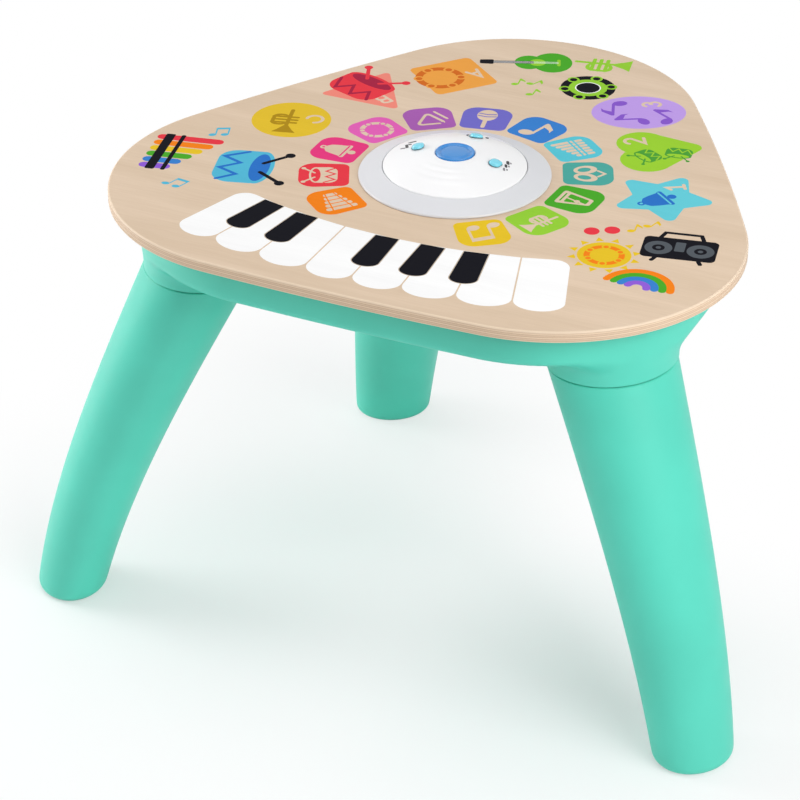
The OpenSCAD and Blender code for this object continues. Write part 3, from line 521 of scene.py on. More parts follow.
# Solids that no finer mesh replaces keep their shape and get a finish
CAD_FINISH = {
    "control_housing": white, "dome_screws": steel, "control_board": board, "leds": resin,
    "button_switch": black, "slide_switches": steel, "sensor_sheet": film, "sensor_tail": film,
    "speaker_frame": steel, "speaker_magnet": magnet, "speaker_cone": paper,
    "speaker_screws": steel, "battery_box": black, "battery_contacts": nickel,
    "battery_springs": nickel, "batteries": jacket, "battery_door": green, "wiring": wire_red,
}
for node_name, finish in CAD_FINISH.items():
    for node_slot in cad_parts[node_name].material_slots:
        node_slot.material = finish


# ---------------------------------------------------------------- printed design

INKS = {
    "white": (254, 254, 254), "black": (20, 20, 27), "slate": (84, 90, 96), "gap": (205, 190, 172),
    "circle": (229, 193, 53), "circle_dark": (176, 140, 30),
    "triangle": (242, 140, 125), "red": (232, 62, 74), "maroon": (168, 40, 70),
    "square": (240, 165, 75), "square_dark": (214, 110, 40),
    "oval": (194, 160, 235), "oval_dark": (138, 92, 205),
    "heart": (157, 210, 56), "heart_dark": (78, 160, 60),
    "star": (103, 205, 218), "star_dark": (48, 116, 200),
    "hot_pink": (233, 62, 130), "orange": (245, 132, 31), "pink": (228, 100, 184),
    "purple": (169, 97, 178), "indigo": (115, 110, 200), "blue": (60, 130, 208),
    "turquoise": (92, 200, 216), "teal": (80, 170, 160), "green": (76, 170, 45),
    "lime": (150, 208, 60), "yellow": (232, 195, 44), "sky": (86, 186, 216),
    "violet": (145, 95, 215),
}
prints = []


def paint(colour, points):
    """Adds a printed area; later areas cover earlier ones, and wood leaves the veneer bare."""
    prints.append((colour, [np.asarray(p, float)[:2] for p in points]))


def placed(points, at, turn=0.0, scale=1.0):
    return [np.array(at) + turned(np.asarray(p, float) * scale, turn) for p in points]


# Keyboard: ends of the joints between the white keys, at the front and at the back
KEY_FRONT_X = (-138.5, -107.0, -71.3, -35.3, -1.3, 33.2, 69.5, 106.0, 139.3)
KEY_BACK_X = (-121.8, -93.5, -65.5, -35.2, -3.0, 29.8, 59.6, 89.0, 120.6)
KEY_FRONT_R, KEY_FRONT_Y = 455.0, -159.8
KEY_BACK_R, KEY_BACK_Y = 360.0, -103.2
KEY_JOINT = 1.1
KEY_NOSE = 12.0
BLACK_AFTER = (0, 1, 3, 4, 5)
BLACK_W_BACK, BLACK_W_FRONT, BLACK_L, BLACK_NOSE = 16.6, 18.8, 36.5, 6.8


def on_arc(x, r, lowest):
    """Point at x on an upward-curving arc of radius r whose lowest point is at lowest."""
    return np.array((x, lowest + r - math.sqrt(r * r - x * x)))


def nose(a, b, depth, steps=18):
    """Half oval from a to b that bulges by depth to the right of the way from a to b."""
    a, b = np.array(a), np.array(b)
    middle, half = (a + b) / 2, (b - a) / 2
    out = np.array((half[1], -half[0])) / np.linalg.norm(half)
    return [middle - half * math.cos(math.pi * i / steps)
            + out * depth * math.sin(math.pi * i / steps) for i in range(steps + 1)]


def draw_keyboard():
    fronts = [on_arc(x, KEY_FRONT_R, KEY_FRONT_Y) for x in KEY_FRONT_X]
    backs = [on_arc(x, KEY_BACK_R, KEY_BACK_Y) for x in KEY_BACK_X]
    for i in range(len(fronts) - 1):
        front = [fronts[i], fronts[i + 1]]
        back = [backs[i], backs[i + 1]]
        for row in (front, back):
            way = (row[1] - row[0]) / np.linalg.norm(row[1] - row[0])
            row[0] = row[0] + way * KEY_JOINT / 2
            row[1] = row[1] - way * KEY_JOINT / 2
        end = nose(front[0], front[1], KEY_NOSE)
        radii = [0.0, 0.0]
        if i == 0:
            radii[1] = 11.0
        if i == len(fronts) - 2:
            radii[0] = 11.0
        corners = rounded([front[1], back[1], back[0], front[0]], [0, radii[0], radii[1], 0])
        paint("white", end[1:-1] + corners)
    for i in BLACK_AFTER:
        back, front = backs[i + 1], fronts[i + 1]
        way = (front - back) / np.linalg.norm(front - back)
        side = np.array((way[1], -way[0]))
        tip = back + way * BLACK_L
        if side[0] > 0:
            side = -side
        wide, narrow = side * BLACK_W_FRONT / 2, side * BLACK_W_BACK / 2
        body = nose(tip + wide, tip - wide, BLACK_NOSE)
        for grow, colour in ((0.7, "gap"), (0.0, "black")):
            edge = [p + (p - tip) / np.linalg.norm(p - tip) * grow for p in body]
            close = [back - narrow * (1 + grow / 8), back + narrow * (1 + grow / 8)]
            paint(colour, edge + close)


# Ring of tiles: colour, place of the middle, and turn from the direction of the dome
TILES = (
    ("yellow", 51.6, -71.4, 1.0), ("lime", 78.8, -39.6, -1.2), ("green", 89.8, 0.0, -2.6),
    ("teal", 82.9, 40.0, -2.6), ("turquoise", 59.5, 71.8, -2.5), ("blue", 24.7, 89.8, 0.7),
    ("indigo", -15.9, 90.2, 2.4), ("purple", -52.7, 73.2, 0.8), ("pink", -79.2, 41.2, -0.6),
    ("hot_pink", -89.6, 0.6, 0.6), ("red", -81.6, -38.9, -0.5), ("orange", -57.0, -70.6, -1.1),
)
TILE_SIGN_SIZE = 1.32


def tile_outline():
    """A tile about its middle, with the inner side of the ring at the bottom."""
    corners = [(-16.5, -17.3), (16.5, -17.3), (18.8, 17.9), (-18.8, 17.9)]
    return rounded(corners, [5.2, 5.2, 11.2, 11.2])


def draw_tiles():
    for (colour, x, y, turn), sign in zip(TILES, TILE_SIGNS):
        angle = math.degrees(math.atan2(y, x)) - 90 + turn
        paint(colour, placed(tile_outline(), (x, y), angle))
        sign((x, y), angle, TILE_SIGN_SIZE, "wood", colour)


class Pen:
    """Paints shapes of one colour, given about a motif's own middle."""

    def __init__(self, colour, at, turn=0.0, size=1.0):
        self.colour, self.place = colour, (at, turn, size)

    def area(self, points):
        paint(self.colour, placed(points, *self.place))

    def corners(self, points, radii, steps=10):
        self.area(rounded(points, radii, steps))

    def box(self, x0, y0, x1, y1, radii=0.0, steps=10):
        self.corners([(x0, y0), (x1, y0), (x1, y1), (x0, y1)], radii, steps)

    def line(self, points, width, steps=6):
        self.area(stroke(points, width, steps))

    def dot(self, at, r, steps=20):
        self.area(disc(at, r, steps))

    def egg(self, at, rx, ry, turn=0.0, steps=40):
        self.area(oval(at, rx, ry, turn, steps))


def motif(draw):
    """Turns a drawing with a pen for each colour into a call with its place and colours."""
    def place(at, turn, size, *colours):
        draw(*(Pen(colour, at, turn, size) for colour in colours))
    return place


# Simple music motifs, about 20 mm across at size 1 but for the last two, which are larger.
# The gap pen has the colour behind the motif, and some motifs leave it unused.

@motif
def note(pen, gap):
    pen.egg((-3.2, -6.5), 4.2, 3.1, 20, 32)
    pen.line([(0.4, -5.5), (0.4, 8.5)], 1.7)
    pen.area([(0, 9.3), (1.2, 9.3), (6.8, 4.6), (7.2, 0.4), (5.6, 2.6), (0.4, 4.6)])


@motif
def two_notes(pen, gap):
    for x in (-5.2, 5.6):
        pen.egg((x - 2.4, -6.6 + x * 0.12), 3.5, 2.6, 20, 32)
        pen.line([(x + 0.5, -6.0 + x * 0.12), (x + 0.5, 6.5 + x * 0.15)], 1.4)
    pen.area([(-5.4, 3.6), (6.8, 5.2), (6.8, 8.6), (-5.4, 7.0)])


@motif
def drum(pen, gap, sticks=None):
    pen.box(-9, -7, 9, 4, [5, 5, 0.5, 0.5])
    pen.egg((0, 4.4), 9, 3.6)
    gap.egg((0, 4.4), 7.6, 2.5)
    gap.line([(-8.4, 0.2), (-5.2, -5.6), (-2, -0.9), (1.2, -5.8), (4.4, -0.9), (7.6, -5.4)], 1.0)
    for x in (-1, 1):
        (sticks or pen).line([(x * 2.5, 5), (x * 7.5, 10.6)], 1.2)
        (sticks or pen).dot((x * 7.8, 10.9), 1.3)


@motif
def bell(pen, gap):
    side = [(8.6, -5.4), (6.3, -2.2), (5.4, 2.4), (4.2, 6.0), (1.6, 7.9)]
    body = side + [(-x, y) for x, y in reversed(side)]
    pen.corners(body, [1.2, 2, 2, 2, 1.5, 1.5, 2, 2, 2, 1.2], 4)
    pen.dot((0, -7.4), 2.2, 28)
    pen.dot((0, 9.0), 1.9, 28)
    gap.dot((0, 9.0), 0.8)
    gap.line([(-6.2, -3.4), (6.2, -3.4)], 0.9)


@motif
def maraca(pen, gap):
    pen.egg((0, 4.6), 5.6, 6.8)
    pen.line([(0, -1), (0, -10)], 2.4)
    for y, w in ((6.4, 4.6), (3.6, 4.9)):
        gap.line([(-w, y), (0, y - 0.9), (w, y)], 0.9)


@motif
def triangle_chime(pen, gap):
    pen.corners([(-9.4, -7.4), (9.4, -7.4), (0, 8.8)], 2.4, 6)
    gap.corners([(-6.4, -5.7), (6.4, -5.7), (0, 5.4)], 1.0, 4)
    gap.area([(5.2, -7.6), (7.4, -7.6), (6.6, -5.2), (4.6, -5.2)])
    pen.line([(4.4, 8.2), (9.6, -1.4)], 1.5)


@motif
def tambourine(pen, gap):
    pen.dot((0, 0), 9.4, 56)
    gap.dot((0, 0), 6.6, 48)
    for i in range(6):
        jingle = polar(8.0, 30 + 60 * i)
        gap.dot(jingle, 2.1, 24)
        pen.dot(jingle, 1.3)


@motif
def pan_pipes(pen, gap):
    for i in range(6):
        x = -8.0 + 3.2 * i
        pen.line([(x, 7.6), (x, -1.0 - 1.5 * (5 - i))], 2.5)
    gap.box(-9.8, 3.2, 9.8, 4.4)
    gap.box(-9.8, 0.6, 9.8, 1.8)


@motif
def castanets(pen, gap):
    for x, tilt in ((-4.4, 18), (4.4, -18)):
        pen.egg((x, -1.2), 4.6, 6.4, tilt)
        gap.egg((x, -1.8), 2.4, 3.6, tilt, 32)
    pen.line([(-3.4, 5.4), (0, 9.2), (3.4, 5.4)], 1.4)


@motif
def metronome(pen, gap):
    pen.corners([(-7.6, -9), (7.6, -9), (3.4, 9.2), (-3.4, 9.2)], 1.5, 5)
    gap.corners([(-4.8, -4.6), (4.8, -4.6), (2.2, 7.0), (-2.2, 7.0)], 0.8, 4)
    pen.line([(0, -4.4), (3.2, 7.4)], 1.1)
    pen.dot((1.6, 1.6), 1.6)
    gap.line([(-4.2, -6.8), (4.2, -6.8)], 0.9)


@motif
def trumpet(pen, gap):
    pen.line([(-10.4, 2.6), (5, 2.6)], 1.7)
    pen.area([(4.2, 1.6), (8.2, -0.6), (10.6, -2.4), (10.6, 7.6), (8.2, 5.8), (4.2, 3.6)])
    pen.box(-6.4, -4.6, 4.0, 2.6, 3.2, 6)
    gap.box(-4.8, -3.0, 2.4, 1.8, 2.0, 5)
    for x in (-3.8, -1.2, 1.4):
        pen.line([(x, -4.0), (x, 6.0)], 1.5)


@motif
def chime_bars(pen, gap):
    for i in range(5):
        x, reach = -7.6 + 3.8 * i, 8.6 - 1.2 * i
        pen.box(x - 1.5, -reach, x + 1.5, reach, 1.2, 4)
    for y in (-1, 1):
        gap.line([(-9, y * 5.4), (9, y * 2.4)], 0.8)


@motif
def music_player(case, cone):
    """Portable player with a handle and feet, and two loudspeakers."""
    case.line([(-15, 12), (-12, 21), (12, 21), (15, 12)], 3.0)
    case.box(-25, -15, 25, 14, 4.0, 6)
    for x in (-14, 14):
        cone.dot((x, -1), 9.2, 40)
        case.dot((x, -1), 4.2, 32)
        cone.dot((x, -1), 1.8)
        case.line([(x, -14), (x * 1.15, -19)], 3.0)
    cone.box(-3.4, -4, 3.4, 9, 1.0, 4)


@motif
def lute(pen, gap, neck, string):
    pen.egg((0, -8), 15, 13, 0, 56)
    pen.egg((0, 7), 10.5, 9.5, 0, 48)
    gap.dot((0, 1.5), 5.2, 40)
    neck.box(-1.9, 4, 1.9, 32, 0.6, 3)
    neck.corners([(-3.6, 30), (3.6, 30), (3.0, 39), (-3.0, 39)], 1.2, 4)
    gap.box(-5, -13.4, 5, -11.2, 1.0, 3)
    for x in (-1.1, 0, 1.1):
        string.line([(x, -12), (x, 30)], 0.35, 3)


TILE_SIGNS = (two_notes, trumpet, metronome, castanets, pan_pipes, note, maraca,
              triangle_chime, tambourine, bell, drum, chime_bars)


# Letters and numbers from lines, in a box 10 high; up is the turn of the reader
GLYPHS = {
    "A": [[(-3.6, -5), (0, 5), (3.6, -5)], [(-2.3, -1.6), (2.3, -1.6)]],
    "B": [[(-2.8, -5), (-2.8, 5)],
          [(-2.8, 5), (0.6, 5), (2.2, 4.2), (2.7, 2.6), (2.2, 1), (0.6, 0.3), (-2.8, 0.3)],
          [(0.6, 0.3), (2.6, -0.6), (3.2, -2.4), (2.6, -4.2), (0.8, -5), (-2.8, -5)]],
    "C": [arc((0, 0), 4.6, 48, 312, 20)],
    "1": [[(-2.2, 2.8), (0.6, 5), (0.6, -5)], [(-2.0, -5), (3.2, -5)]],
    "2": [arc((0, 2.2), 2.9, 160, -20, 12) + [(-3.1, -5), (3.2, -5)]],
    "3": [arc((0, 2.5), 2.6, 150, -80, 12), arc((0, -2.1), 3.0, 80, -150, 12)],
}


def glyph(letter, at, turn, height, width):
    """Letter or number that leaves the veneer bare."""
    for line in GLYPHS[letter]:
        paint("wood", stroke(placed(line, at, turn, height / 10), width))


LEFT_UP, RIGHT_UP = 330 - 90, 210 - 90


def draw_shapes():
    """The six big shapes, with a letter or a number and a motif for each."""
    paint("circle", disc((-141.9, 30.0), 28.6, 96))
    glyph("C", (-127.0, 38.0), LEFT_UP, 12.5, 2.4)
    trumpet((-147.5, 26.0), LEFT_UP + 45, 1.75, "circle_dark", "circle")

    paint("triangle", rounded([(-113.0, 134.0), (-143.5, 77.8), (-79.5, 77.8)], 3.0))
    glyph("B", (-96.5, 89.0), LEFT_UP, 12.0, 2.3)
    drum((-121.0, 102.0), LEFT_UP + 100, 2.5, "red", "maroon")

    Pen("square", (-66.9, 147.2), 50.2).box(-25, -25, 25, 25, 4.5)
    glyph("A", (-53.0, 158.0), LEFT_UP, 13.0, 2.5)
    tambourine((-74.5, 140.0), LEFT_UP, 1.95, "square_dark", "square")

    paint("oval", oval((79.7, 146.7), 34.2, 26.9, 29.0, 96))
    glyph("3", (83.5, 163.0), RIGHT_UP, 12.5, 2.4)
    for spot, lean in (((61.0, 145.5), 200), ((79.0, 133.5), 120), ((98.0, 149.0), 60)):
        note(spot, lean, 1.3, "oval_dark", "oval")

    paint("heart", heart_outline())
    glyph("2", (94.0, 101.5), RIGHT_UP, 14.0, 2.5)
    for spot, lean in (((111.0, 84.0), 150), ((129.0, 97.0), 190)):
        drum(spot, lean, 1.05, "heart_dark", "heart")

    points = []
    for i in range(5):
        points += [polar(39.2, 83.5 + 72 * i), polar(20.6, 83.5 + 36 + 72 * i)]
    Pen("star", (142.6, 27.6)).corners(points, [4.6, 1.5] * 5, 8)
    glyph("1", (145.5, 45.5), RIGHT_UP, 12.5, 2.4)
    bell((141.0, 23.5), RIGHT_UP + 20, 1.45, "star_dark", "star")


def heart_outline():
    """Heart with its point towards the upper right of the top."""
    lobe_r = 18.6
    lobes = [(100.6, 100.0), (112.2, 77.4)]
    tip, notch = (143.5, 114.5), (92.5, 81.5)
    out = arc(lobes[0], lobe_r, 72, 254, 28)
    out.append(np.array(notch) + (1.5, 0.8))
    out += arc(lobes[1], lobe_r, 187, 348, 28)
    out += rounded([out[-1], tip, out[0]], [0, 6.5, 0], 8)[1:-1]
    return out


def draw_scenes():
    """Three loose groups of pictures, one near each corner of the top."""
    # Left corner: rainbow pipes in black bands, a blue drum with black sticks, small notes
    pipes, lean = (-184, -50), 12
    for i, colour in enumerate(("red", "orange", "yellow", "green", "blue", "violet")):
        y = 22.5 - 9 * i
        Pen(colour, pipes, lean).line([(-24, y), (17 - 5.2 * i, y)], 7.8)
    for x, reach in ((-19, 3.4), (-9.5, 1.6)):
        Pen("black", pipes, lean).box(x - reach, -28, x + reach, 28, 1.4)
    drum((-139, -51), 286, 2.75, "sky", "star_dark", "black")
    for spot, lean in (((-178, -8), 20), ((-168, -92), -15)):
        two_notes(spot, lean, 0.8, "sky", "wood")

    # Rear corner: a green lute, and a black tambourine and a lime trumpet beside it
    lute((-18, 196), 112, 1.15, "green", "lime", "black", "white")
    skin = (31, 170)
    tambourine(skin, 0, 2.15, "black", "lime")
    paint("white", disc(skin, 9.5, 48))
    paint("black", disc(skin, 8.6, 48))
    trumpet((27, 209), 12, 1.95, "lime", "wood")
    for spot, lean in (((-19, 158), 10), ((-7, 162), -20), ((-2, 146), 5)):
        note(spot, lean, 0.66, "lime", "wood")

    # Right corner: a yellow sun, a music player, a rainbow arch and red dots
    sun = (137, -66)
    paint("yellow", disc(sun, 18.0, 64))
    for i in range(12):
        Pen("yellow", sun, 30 * i).area([(-3.0, 19.5), (3.0, 19.5), (0, 25)])
    tambourine(sun, 15, 1.45, "orange", "yellow")
    music_player((179, -37), 12, 1.0, "black", "slate")
    for i, colour in enumerate(("orange", "green", "blue", "violet")):
        band = arc((172, -98), 22.0 - 5.2 * i, 8, 172, 24)
        paint(colour, stroke(band, 5.3))
    for spot in ((117, -38), (129, -31)):
        paint("red", disc(spot, 5.3, 32))
    for spot, lean in (((142, -22), 10), ((151, -12), -12)):
        note(spot, lean, 0.66, "yellow", "wood")


# ---------------------------------------------------------------- the plywood top

TOP_EDGE = 1.2
LOW_EDGE = 0.9


def triangulated(loops, shapes):
    """Triangles of the area in the first loop and outside the other loops, with the number
    of the last shape that covers each, or -1."""
    points, faces = [], []
    for loop in list(loops) + [s[1] for s in shapes]:
        loop = np.asarray(loop, float)
        x, y = loop[:, 0], loop[:, 1]
        if np.sum(x * np.roll(y, -1) - np.roll(x, -1) * y) < 0:
            loop = loop[::-1]
        faces.append(list(range(len(points), len(points) + len(loop))))
        points += [Vector(p) for p in loop]
    made = delaunay_2d_cdt(points, [], faces, 0, 1e-4, True)
    kept, cover = [], []
    holes = set(range(1, len(loops)))
    for corners, owners in zip(made[2], made[5]):
        if 0 not in owners or holes & set(owners):
            continue
        kept.append(corners)
        cover.append(max(owners) - len(loops) if max(owners) >= len(loops) else -1)
    return np.array([tuple(p) for p in made[0]]), kept, cover


def make_tabletop():
    materials = [face_wood, edge_wood] + [ink(*item) for item in INKS.items()]
    index = {"wood": 0, **{name: i + 2 for i, name in enumerate(INKS)}}
    rings = []
    for step in range(5):
        a = math.radians(90 * step / 4)
        rings.append(flat_ring(outline(LOW_EDGE * (1 - math.sin(a))),
                               WOOD_Z + LOW_EDGE * (1 - math.cos(a))))
    for step in range(7):
        a = math.radians(90 * step / 6)
        rings.append(flat_ring(outline(TOP_EDGE * (1 - math.cos(a))),
                               TABLE_H - TOP_EDGE * (1 - math.sin(a))))
    points, faces = loft(rings, caps=False)
    slots = [1] * len(faces)
    hole = disc((0, 0), HOLE_R, 160)
    wall, wall_faces = loft([flat_ring(hole, WOOD_Z), flat_ring(hole, TABLE_H)], caps=False)
    for extra, extra_faces, extra_slots in (
        (wall, [f[::-1] for f in wall_faces], [1] * len(wall_faces)),
        flat_area(rings[-1][:, :2], hole, prints, TABLE_H, index, False),
        flat_area(rings[0][:, :2], hole, [], WOOD_Z, index, True),
    ):
        faces += [tuple(v + len(points) for v in f) for f in extra_faces]
        points = np.concatenate((points, extra))
        slots += extra_slots
    made = new_object("plywood_top", points, faces, materials, slots)
    finish_piece(made, "table", ["tabletop"], 40)
    for face in made.data.polygons:
        if abs(face.normal.z) > 0.9999:
            face.use_smooth = False
    return made


def flat_area(edge, hole, shapes, z, index, down):
    points, faces, cover = triangulated([edge, hole], shapes)
    slots = [index[shapes[c][0]] if c >= 0 else 0 for c in cover]
    if down:
        faces = [f[::-1] for f in faces]
    return flat_ring(points, z), faces, slots


# ---------------------------------------------------------------- base shell and legs

CELL = 2.0


def leg_place(reach, angle, points):
    """Moves points from a leg's own frame, where +X leans outwards, to the table's."""
    out = np.array(points, float)
    c, s = math.cos(math.radians(angle)), math.sin(math.radians(angle))
    x, y = out[:, 0] + reach, out[:, 1].copy()
    out[:, 0], out[:, 1] = x * c - y * s, x * s + y * c
    return out


def leg_oval(x, y):
    """Distance from the nearest socket's oval, and the offsets from that socket's middle."""
    out = np.full(np.shape(x), 1e3)
    for reach, angle in LEGS.values():
        c, s = math.cos(math.radians(angle)), math.sin(math.radians(angle))
        u, v = x * c + y * s - reach, -x * s + y * c
        k0 = np.hypot(u / LEG_TOP[0], v / LEG_TOP[1])
        k1 = np.hypot(u / LEG_TOP[0] ** 2, v / LEG_TOP[1] ** 2)
        out = np.minimum(out, k0 * (k0 - 1) / np.maximum(k1, 1e-6))
    return out


def shell_distance(x, y, z):
    """Signed distance to the outer skin of the base shell, with its flares and soft edges."""
    lean = WALL_LEAN * (WOOD_Z - z) / (WOOD_Z - FLOOR_Z)
    wall = plan_distance(x, y, SHELL_PLAN) + lean
    socket = leg_oval(x, y)
    floor = fillet_union(socket, FLOOR_Z - z, FLARE_R)
    a, b = wall + EDGE_R, floor + EDGE_R
    tray = np.minimum(np.maximum(a, b), 0) + np.hypot(np.maximum(a, 0), np.maximum(b, 0)) - EDGE_R
    return fillet_union(tray, socket, BLEND_R)


def fillet_union(a, b, r):
    """Union of two signed distances with a round fillet of radius r."""
    u, v = np.maximum(r - a, 0), np.maximum(r - b, 0)
    return np.maximum(r, np.minimum(a, b)) - np.hypot(u, v)


def settle(points, distance, steps=4, h=0.05):
    """Moves points onto the zero level of a signed distance."""
    points = points.copy()
    for _ in range(steps):
        x, y, z = points.T
        d = distance(x, y, z)
        gradient = np.stack((distance(x + h, y, z) - distance(x - h, y, z),
                             distance(x, y + h, z) - distance(x, y - h, z),
                             distance(x, y, z + h) - distance(x, y, z - h)), 1) / (2 * h)
        size = np.maximum((gradient ** 2).sum(1), 0.2)
        points -= np.clip(d / size, -CELL, CELL)[:, None] * gradient
    return points


def shell_skin():
    """Closed mesh of the shell's outer form, a little past its rim and its sockets."""
    spare = 3.0
    low = np.array((-232.0, -200.0, SEAM_Z - spare - 2 * CELL))
    high = np.array((232.0, 244.0, WOOD_Z + spare + 2 * CELL))
    count = np.ceil((high - low) / CELL).astype(int) + 1
    axes = [low[i] + CELL * np.arange(count[i]) for i in range(3)]
    x, y = np.meshgrid(axes[0], axes[1], indexing="ij")
    level = np.empty(count, np.float32)
    for k, z in enumerate(axes[2]):
        level[:, :, k] = shell_distance(x, y, z)
    top = axes[2][None, None, :] - (WOOD_Z + spare)
    bottom = (SEAM_Z - spare) - axes[2][None, None, :]
    level = np.maximum(level, np.maximum(top, bottom)).astype(np.float32)
    grid = openvdb.FloatGrid(4 * CELL)
    grid.copyFromArray(np.ascontiguousarray(level))
    points, quads = grid.convertToQuads(0.0)
    points = np.asarray(points, float) * CELL + low
    free = (points[:, 2] > SEAM_Z - 1.5) & (points[:, 2] < WOOD_Z + 1.5)
    points[free] = settle(points[free], shell_distance)
    return points, [tuple(q[::-1]) for q in quads]


def solid(shape):
    """Object of points and faces that a boolean uses up."""
    return new_object("tool", *shape)


def cylinder_tool(at, r, z0, z1):
    return solid(prism(disc(at, r), z0, z1))


def box_tool(low, high):
    corners = [(low[0], low[1]), (high[0], low[1]), (high[0], high[1]), (low[0], high[1])]
    return solid(prism(corners, low[2], high[2]))


def along_leg(reach, angle, x, r, length):
    """Cylinder along a leg's radial direction, at the level of its screw."""
    a = np.linspace(0, 2 * math.pi, 40, endpoint=False)
    rings = [np.stack((np.full(len(a), px), -r * np.cos(a), LEG_SCREW_Z + r * np.sin(a)), 1)
             for px in (x, x + length)]
    return solid(loft([leg_place(reach, angle, ring) for ring in rings]))


def socket_tools(reach, angle):
    """What the socket of a leg adds to the shell, and what it cuts out."""
    def placed_rings(rings):
        return [leg_place(reach, angle, ring) for ring in rings]

    pad_x = -LEG_TOP[0] - PAD_T
    cup = [oval_ring(0, z, *LEG_TOP) for z in (FLOOR_Z + 1, POCKET_TOP + LEG_WALL)]
    pad = along_leg(reach, angle, pad_x, PAD_R, PAD_T + LEG_WALL + 2)
    pocket = [oval_ring(0, z, LEG_TOP[0] - LEG_WALL, LEG_TOP[1] - LEG_WALL)
              for z in (SEAM_Z - 1, POCKET_TOP)]
    lip = [oval_ring(0, SEAM_Z + rise, LEG_TOP[0] + out, LEG_TOP[1] + out)
           for rise, out in ((-0.5, -1.0), (0.7, 0.2), (0.7, 4), (-0.5, 4))]
    head = along_leg(reach, angle, pad_x - FLARE_R, LEG_SCREW_HEAD + 1, FLARE_R)
    shank = along_leg(reach, angle, pad_x - 1, LEG_SCREW_HOLE, PAD_T + LEG_WALL + 3)
    return ([solid(loft(placed_rings(cup))), pad],
            [solid(loft(placed_rings(pocket))), solid(loft(placed_rings(lip), closed=True)),
             head, shank])


def grille_tools():
    centre = polar(SPEAKER_AT, SPEAKER_ANGLE)
    tools = []
    for y in GRILLE_PITCH * np.arange(-2, 3):
        half = math.sqrt(GRILLE_R ** 2 - y ** 2) - GRILLE_SLOT / 2
        run = stroke([(-half, y), (half, y)], GRILLE_SLOT, 8)
        tools.append(solid(prism([centre + p for p in run], FLOOR_Z - 1,
                                 FLOOR_Z + SHELL_WALL + 1)))
    return tools


def make_base_shell():
    """Moulded tray with sockets, screw bosses, the door's opening and the speaker's grille."""
    skin = new_object("base_shell_moulding", *shell_skin(), [green])
    far = 400
    combine(skin, [box_tool((-far, -far, SEAM_Z), (far, far, WOOD_Z))], "INTERSECT")
    inner = loft([
        flat_ring(outline(WALL_LEAN + SHELL_WALL + 4, SHELL_PLAN), FLOOR_Z + SHELL_WALL),
        flat_ring(outline(WALL_LEAN + SHELL_WALL, SHELL_PLAN), FLOOR_Z + EDGE_R),
        flat_ring(outline(SHELL_WALL, SHELL_PLAN), WOOD_Z + 1)])
    combine(skin, [solid(inner)])
    added = [cylinder_tool(at, BOSS_R, FLOOR_Z + 1, WOOD_Z) for at in BOSSES]
    added += [cylinder_tool(at, BOSS_R, FLOOR_Z + 1, TOWER_TOP) for at in TOWERS]
    cut = []
    for leg in LEGS.values():
        more, less = socket_tools(*leg)
        added += more
        cut += less
    for tool in added:
        combine(skin, [tool], "UNION")
    well = SCREW_HEAD_R + 0.3
    cut += [cylinder_tool(at, well, FLOOR_Z - 1, WOOD_Z - BOSS_WEB) for at in BOSSES]
    cut += [cylinder_tool(at, well, FLOOR_Z - 1, TOWER_SEAT) for at in TOWERS]
    low, high = (corner.y / MM - CENTRE_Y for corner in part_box("battery_door"))
    side = DOOR_HALF_W + DOOR_GAP
    cut.append(box_tool((-side, low - DOOR_GAP, FLOOR_Z - 1),
                        (side, high + DOOR_GAP, FLOOR_Z + 5)))
    combine(skin, cut + grille_tools())
    return finish_piece(skin, "table", ["base_shell"], 28)


def leg_shift(t):
    rise = math.tan(math.radians(LEAN_TOP)) * t
    return SEAM_Z * (rise - (math.tan(math.radians(LEAN_TOP))
                             - math.tan(math.radians(LEAN_FOOT))) * t ** 3 / 3)


def leg_ring(t, inset):
    return oval_ring(leg_shift(t), SEAM_Z * (1 - t), lerp(LEG_TOP[0], LEG_FOOT[0], t) - inset,
                     lerp(LEG_TOP[1], LEG_FOOT[1], t) - inset)


def make_leg(name, reach, angle):
    """Hollow leg: round-edged foot, tapered body, shoulder at the seam and a spigot."""
    foot_t = FOOT_ROUND / SEAM_Z
    top = SEAM_Z - SEAM_GAP
    rings = []
    for a in np.radians(90 * np.arange(9) / 8):
        t = 1 - foot_t * (1 - math.cos(a))
        rings.append(leg_ring(t, FOOT_ROUND * (1 - math.sin(a)) + FOOT_SPARE))
    for i in range(1, LEG_ROWS + 1):
        t = (1 - foot_t) * (1 - i / LEG_ROWS)
        if SEAM_Z * (1 - t) > top - 1:
            break
        rings.append(leg_ring(t, 0))
    edge = 0.6
    rings.append(leg_ring(1 - (top - edge) / SEAM_Z, 0))
    rings.append(oval_ring(leg_shift(1 - top / SEAM_Z), top, LEG_TOP[0] - edge,
                           LEG_TOP[1] - edge))
    spigot = np.array(LEG_TOP) - LEG_WALL - SPIGOT_GAP
    for z, inset in ((top, 0), (top + SPIGOT_H - 1, 0), (top + SPIGOT_H, 1),
                     (top + SPIGOT_H, LEG_WALL), (top, LEG_WALL)):
        rings.append(oval_ring(0, z, *(spigot - inset)))
    for i in range(1, 13):
        t = lerp(1 - top / SEAM_Z, 1 - foot_t, i / 12)
        rings.append(leg_ring(t, lerp(LEG_WALL + SPIGOT_GAP + LEG_WALL, LEG_WALL, i / 12)))
    points, faces = loft([leg_place(reach, angle, r) for r in rings])
    made = new_object("leg_" + name, points, faces, [green])
    return finish_piece(made, "table", ["leg_" + name], 28)


# ---------------------------------------------------------------- screws

SHANK_R = 1.5
SCREW_HEAD_T = 2.2
LEG_SCREW_L, LEG_SCREW_HEAD_T = 16.0, 2.6
DOOR_SCREW_HEAD_T = 0.8
WOOD_BITE = 6.0


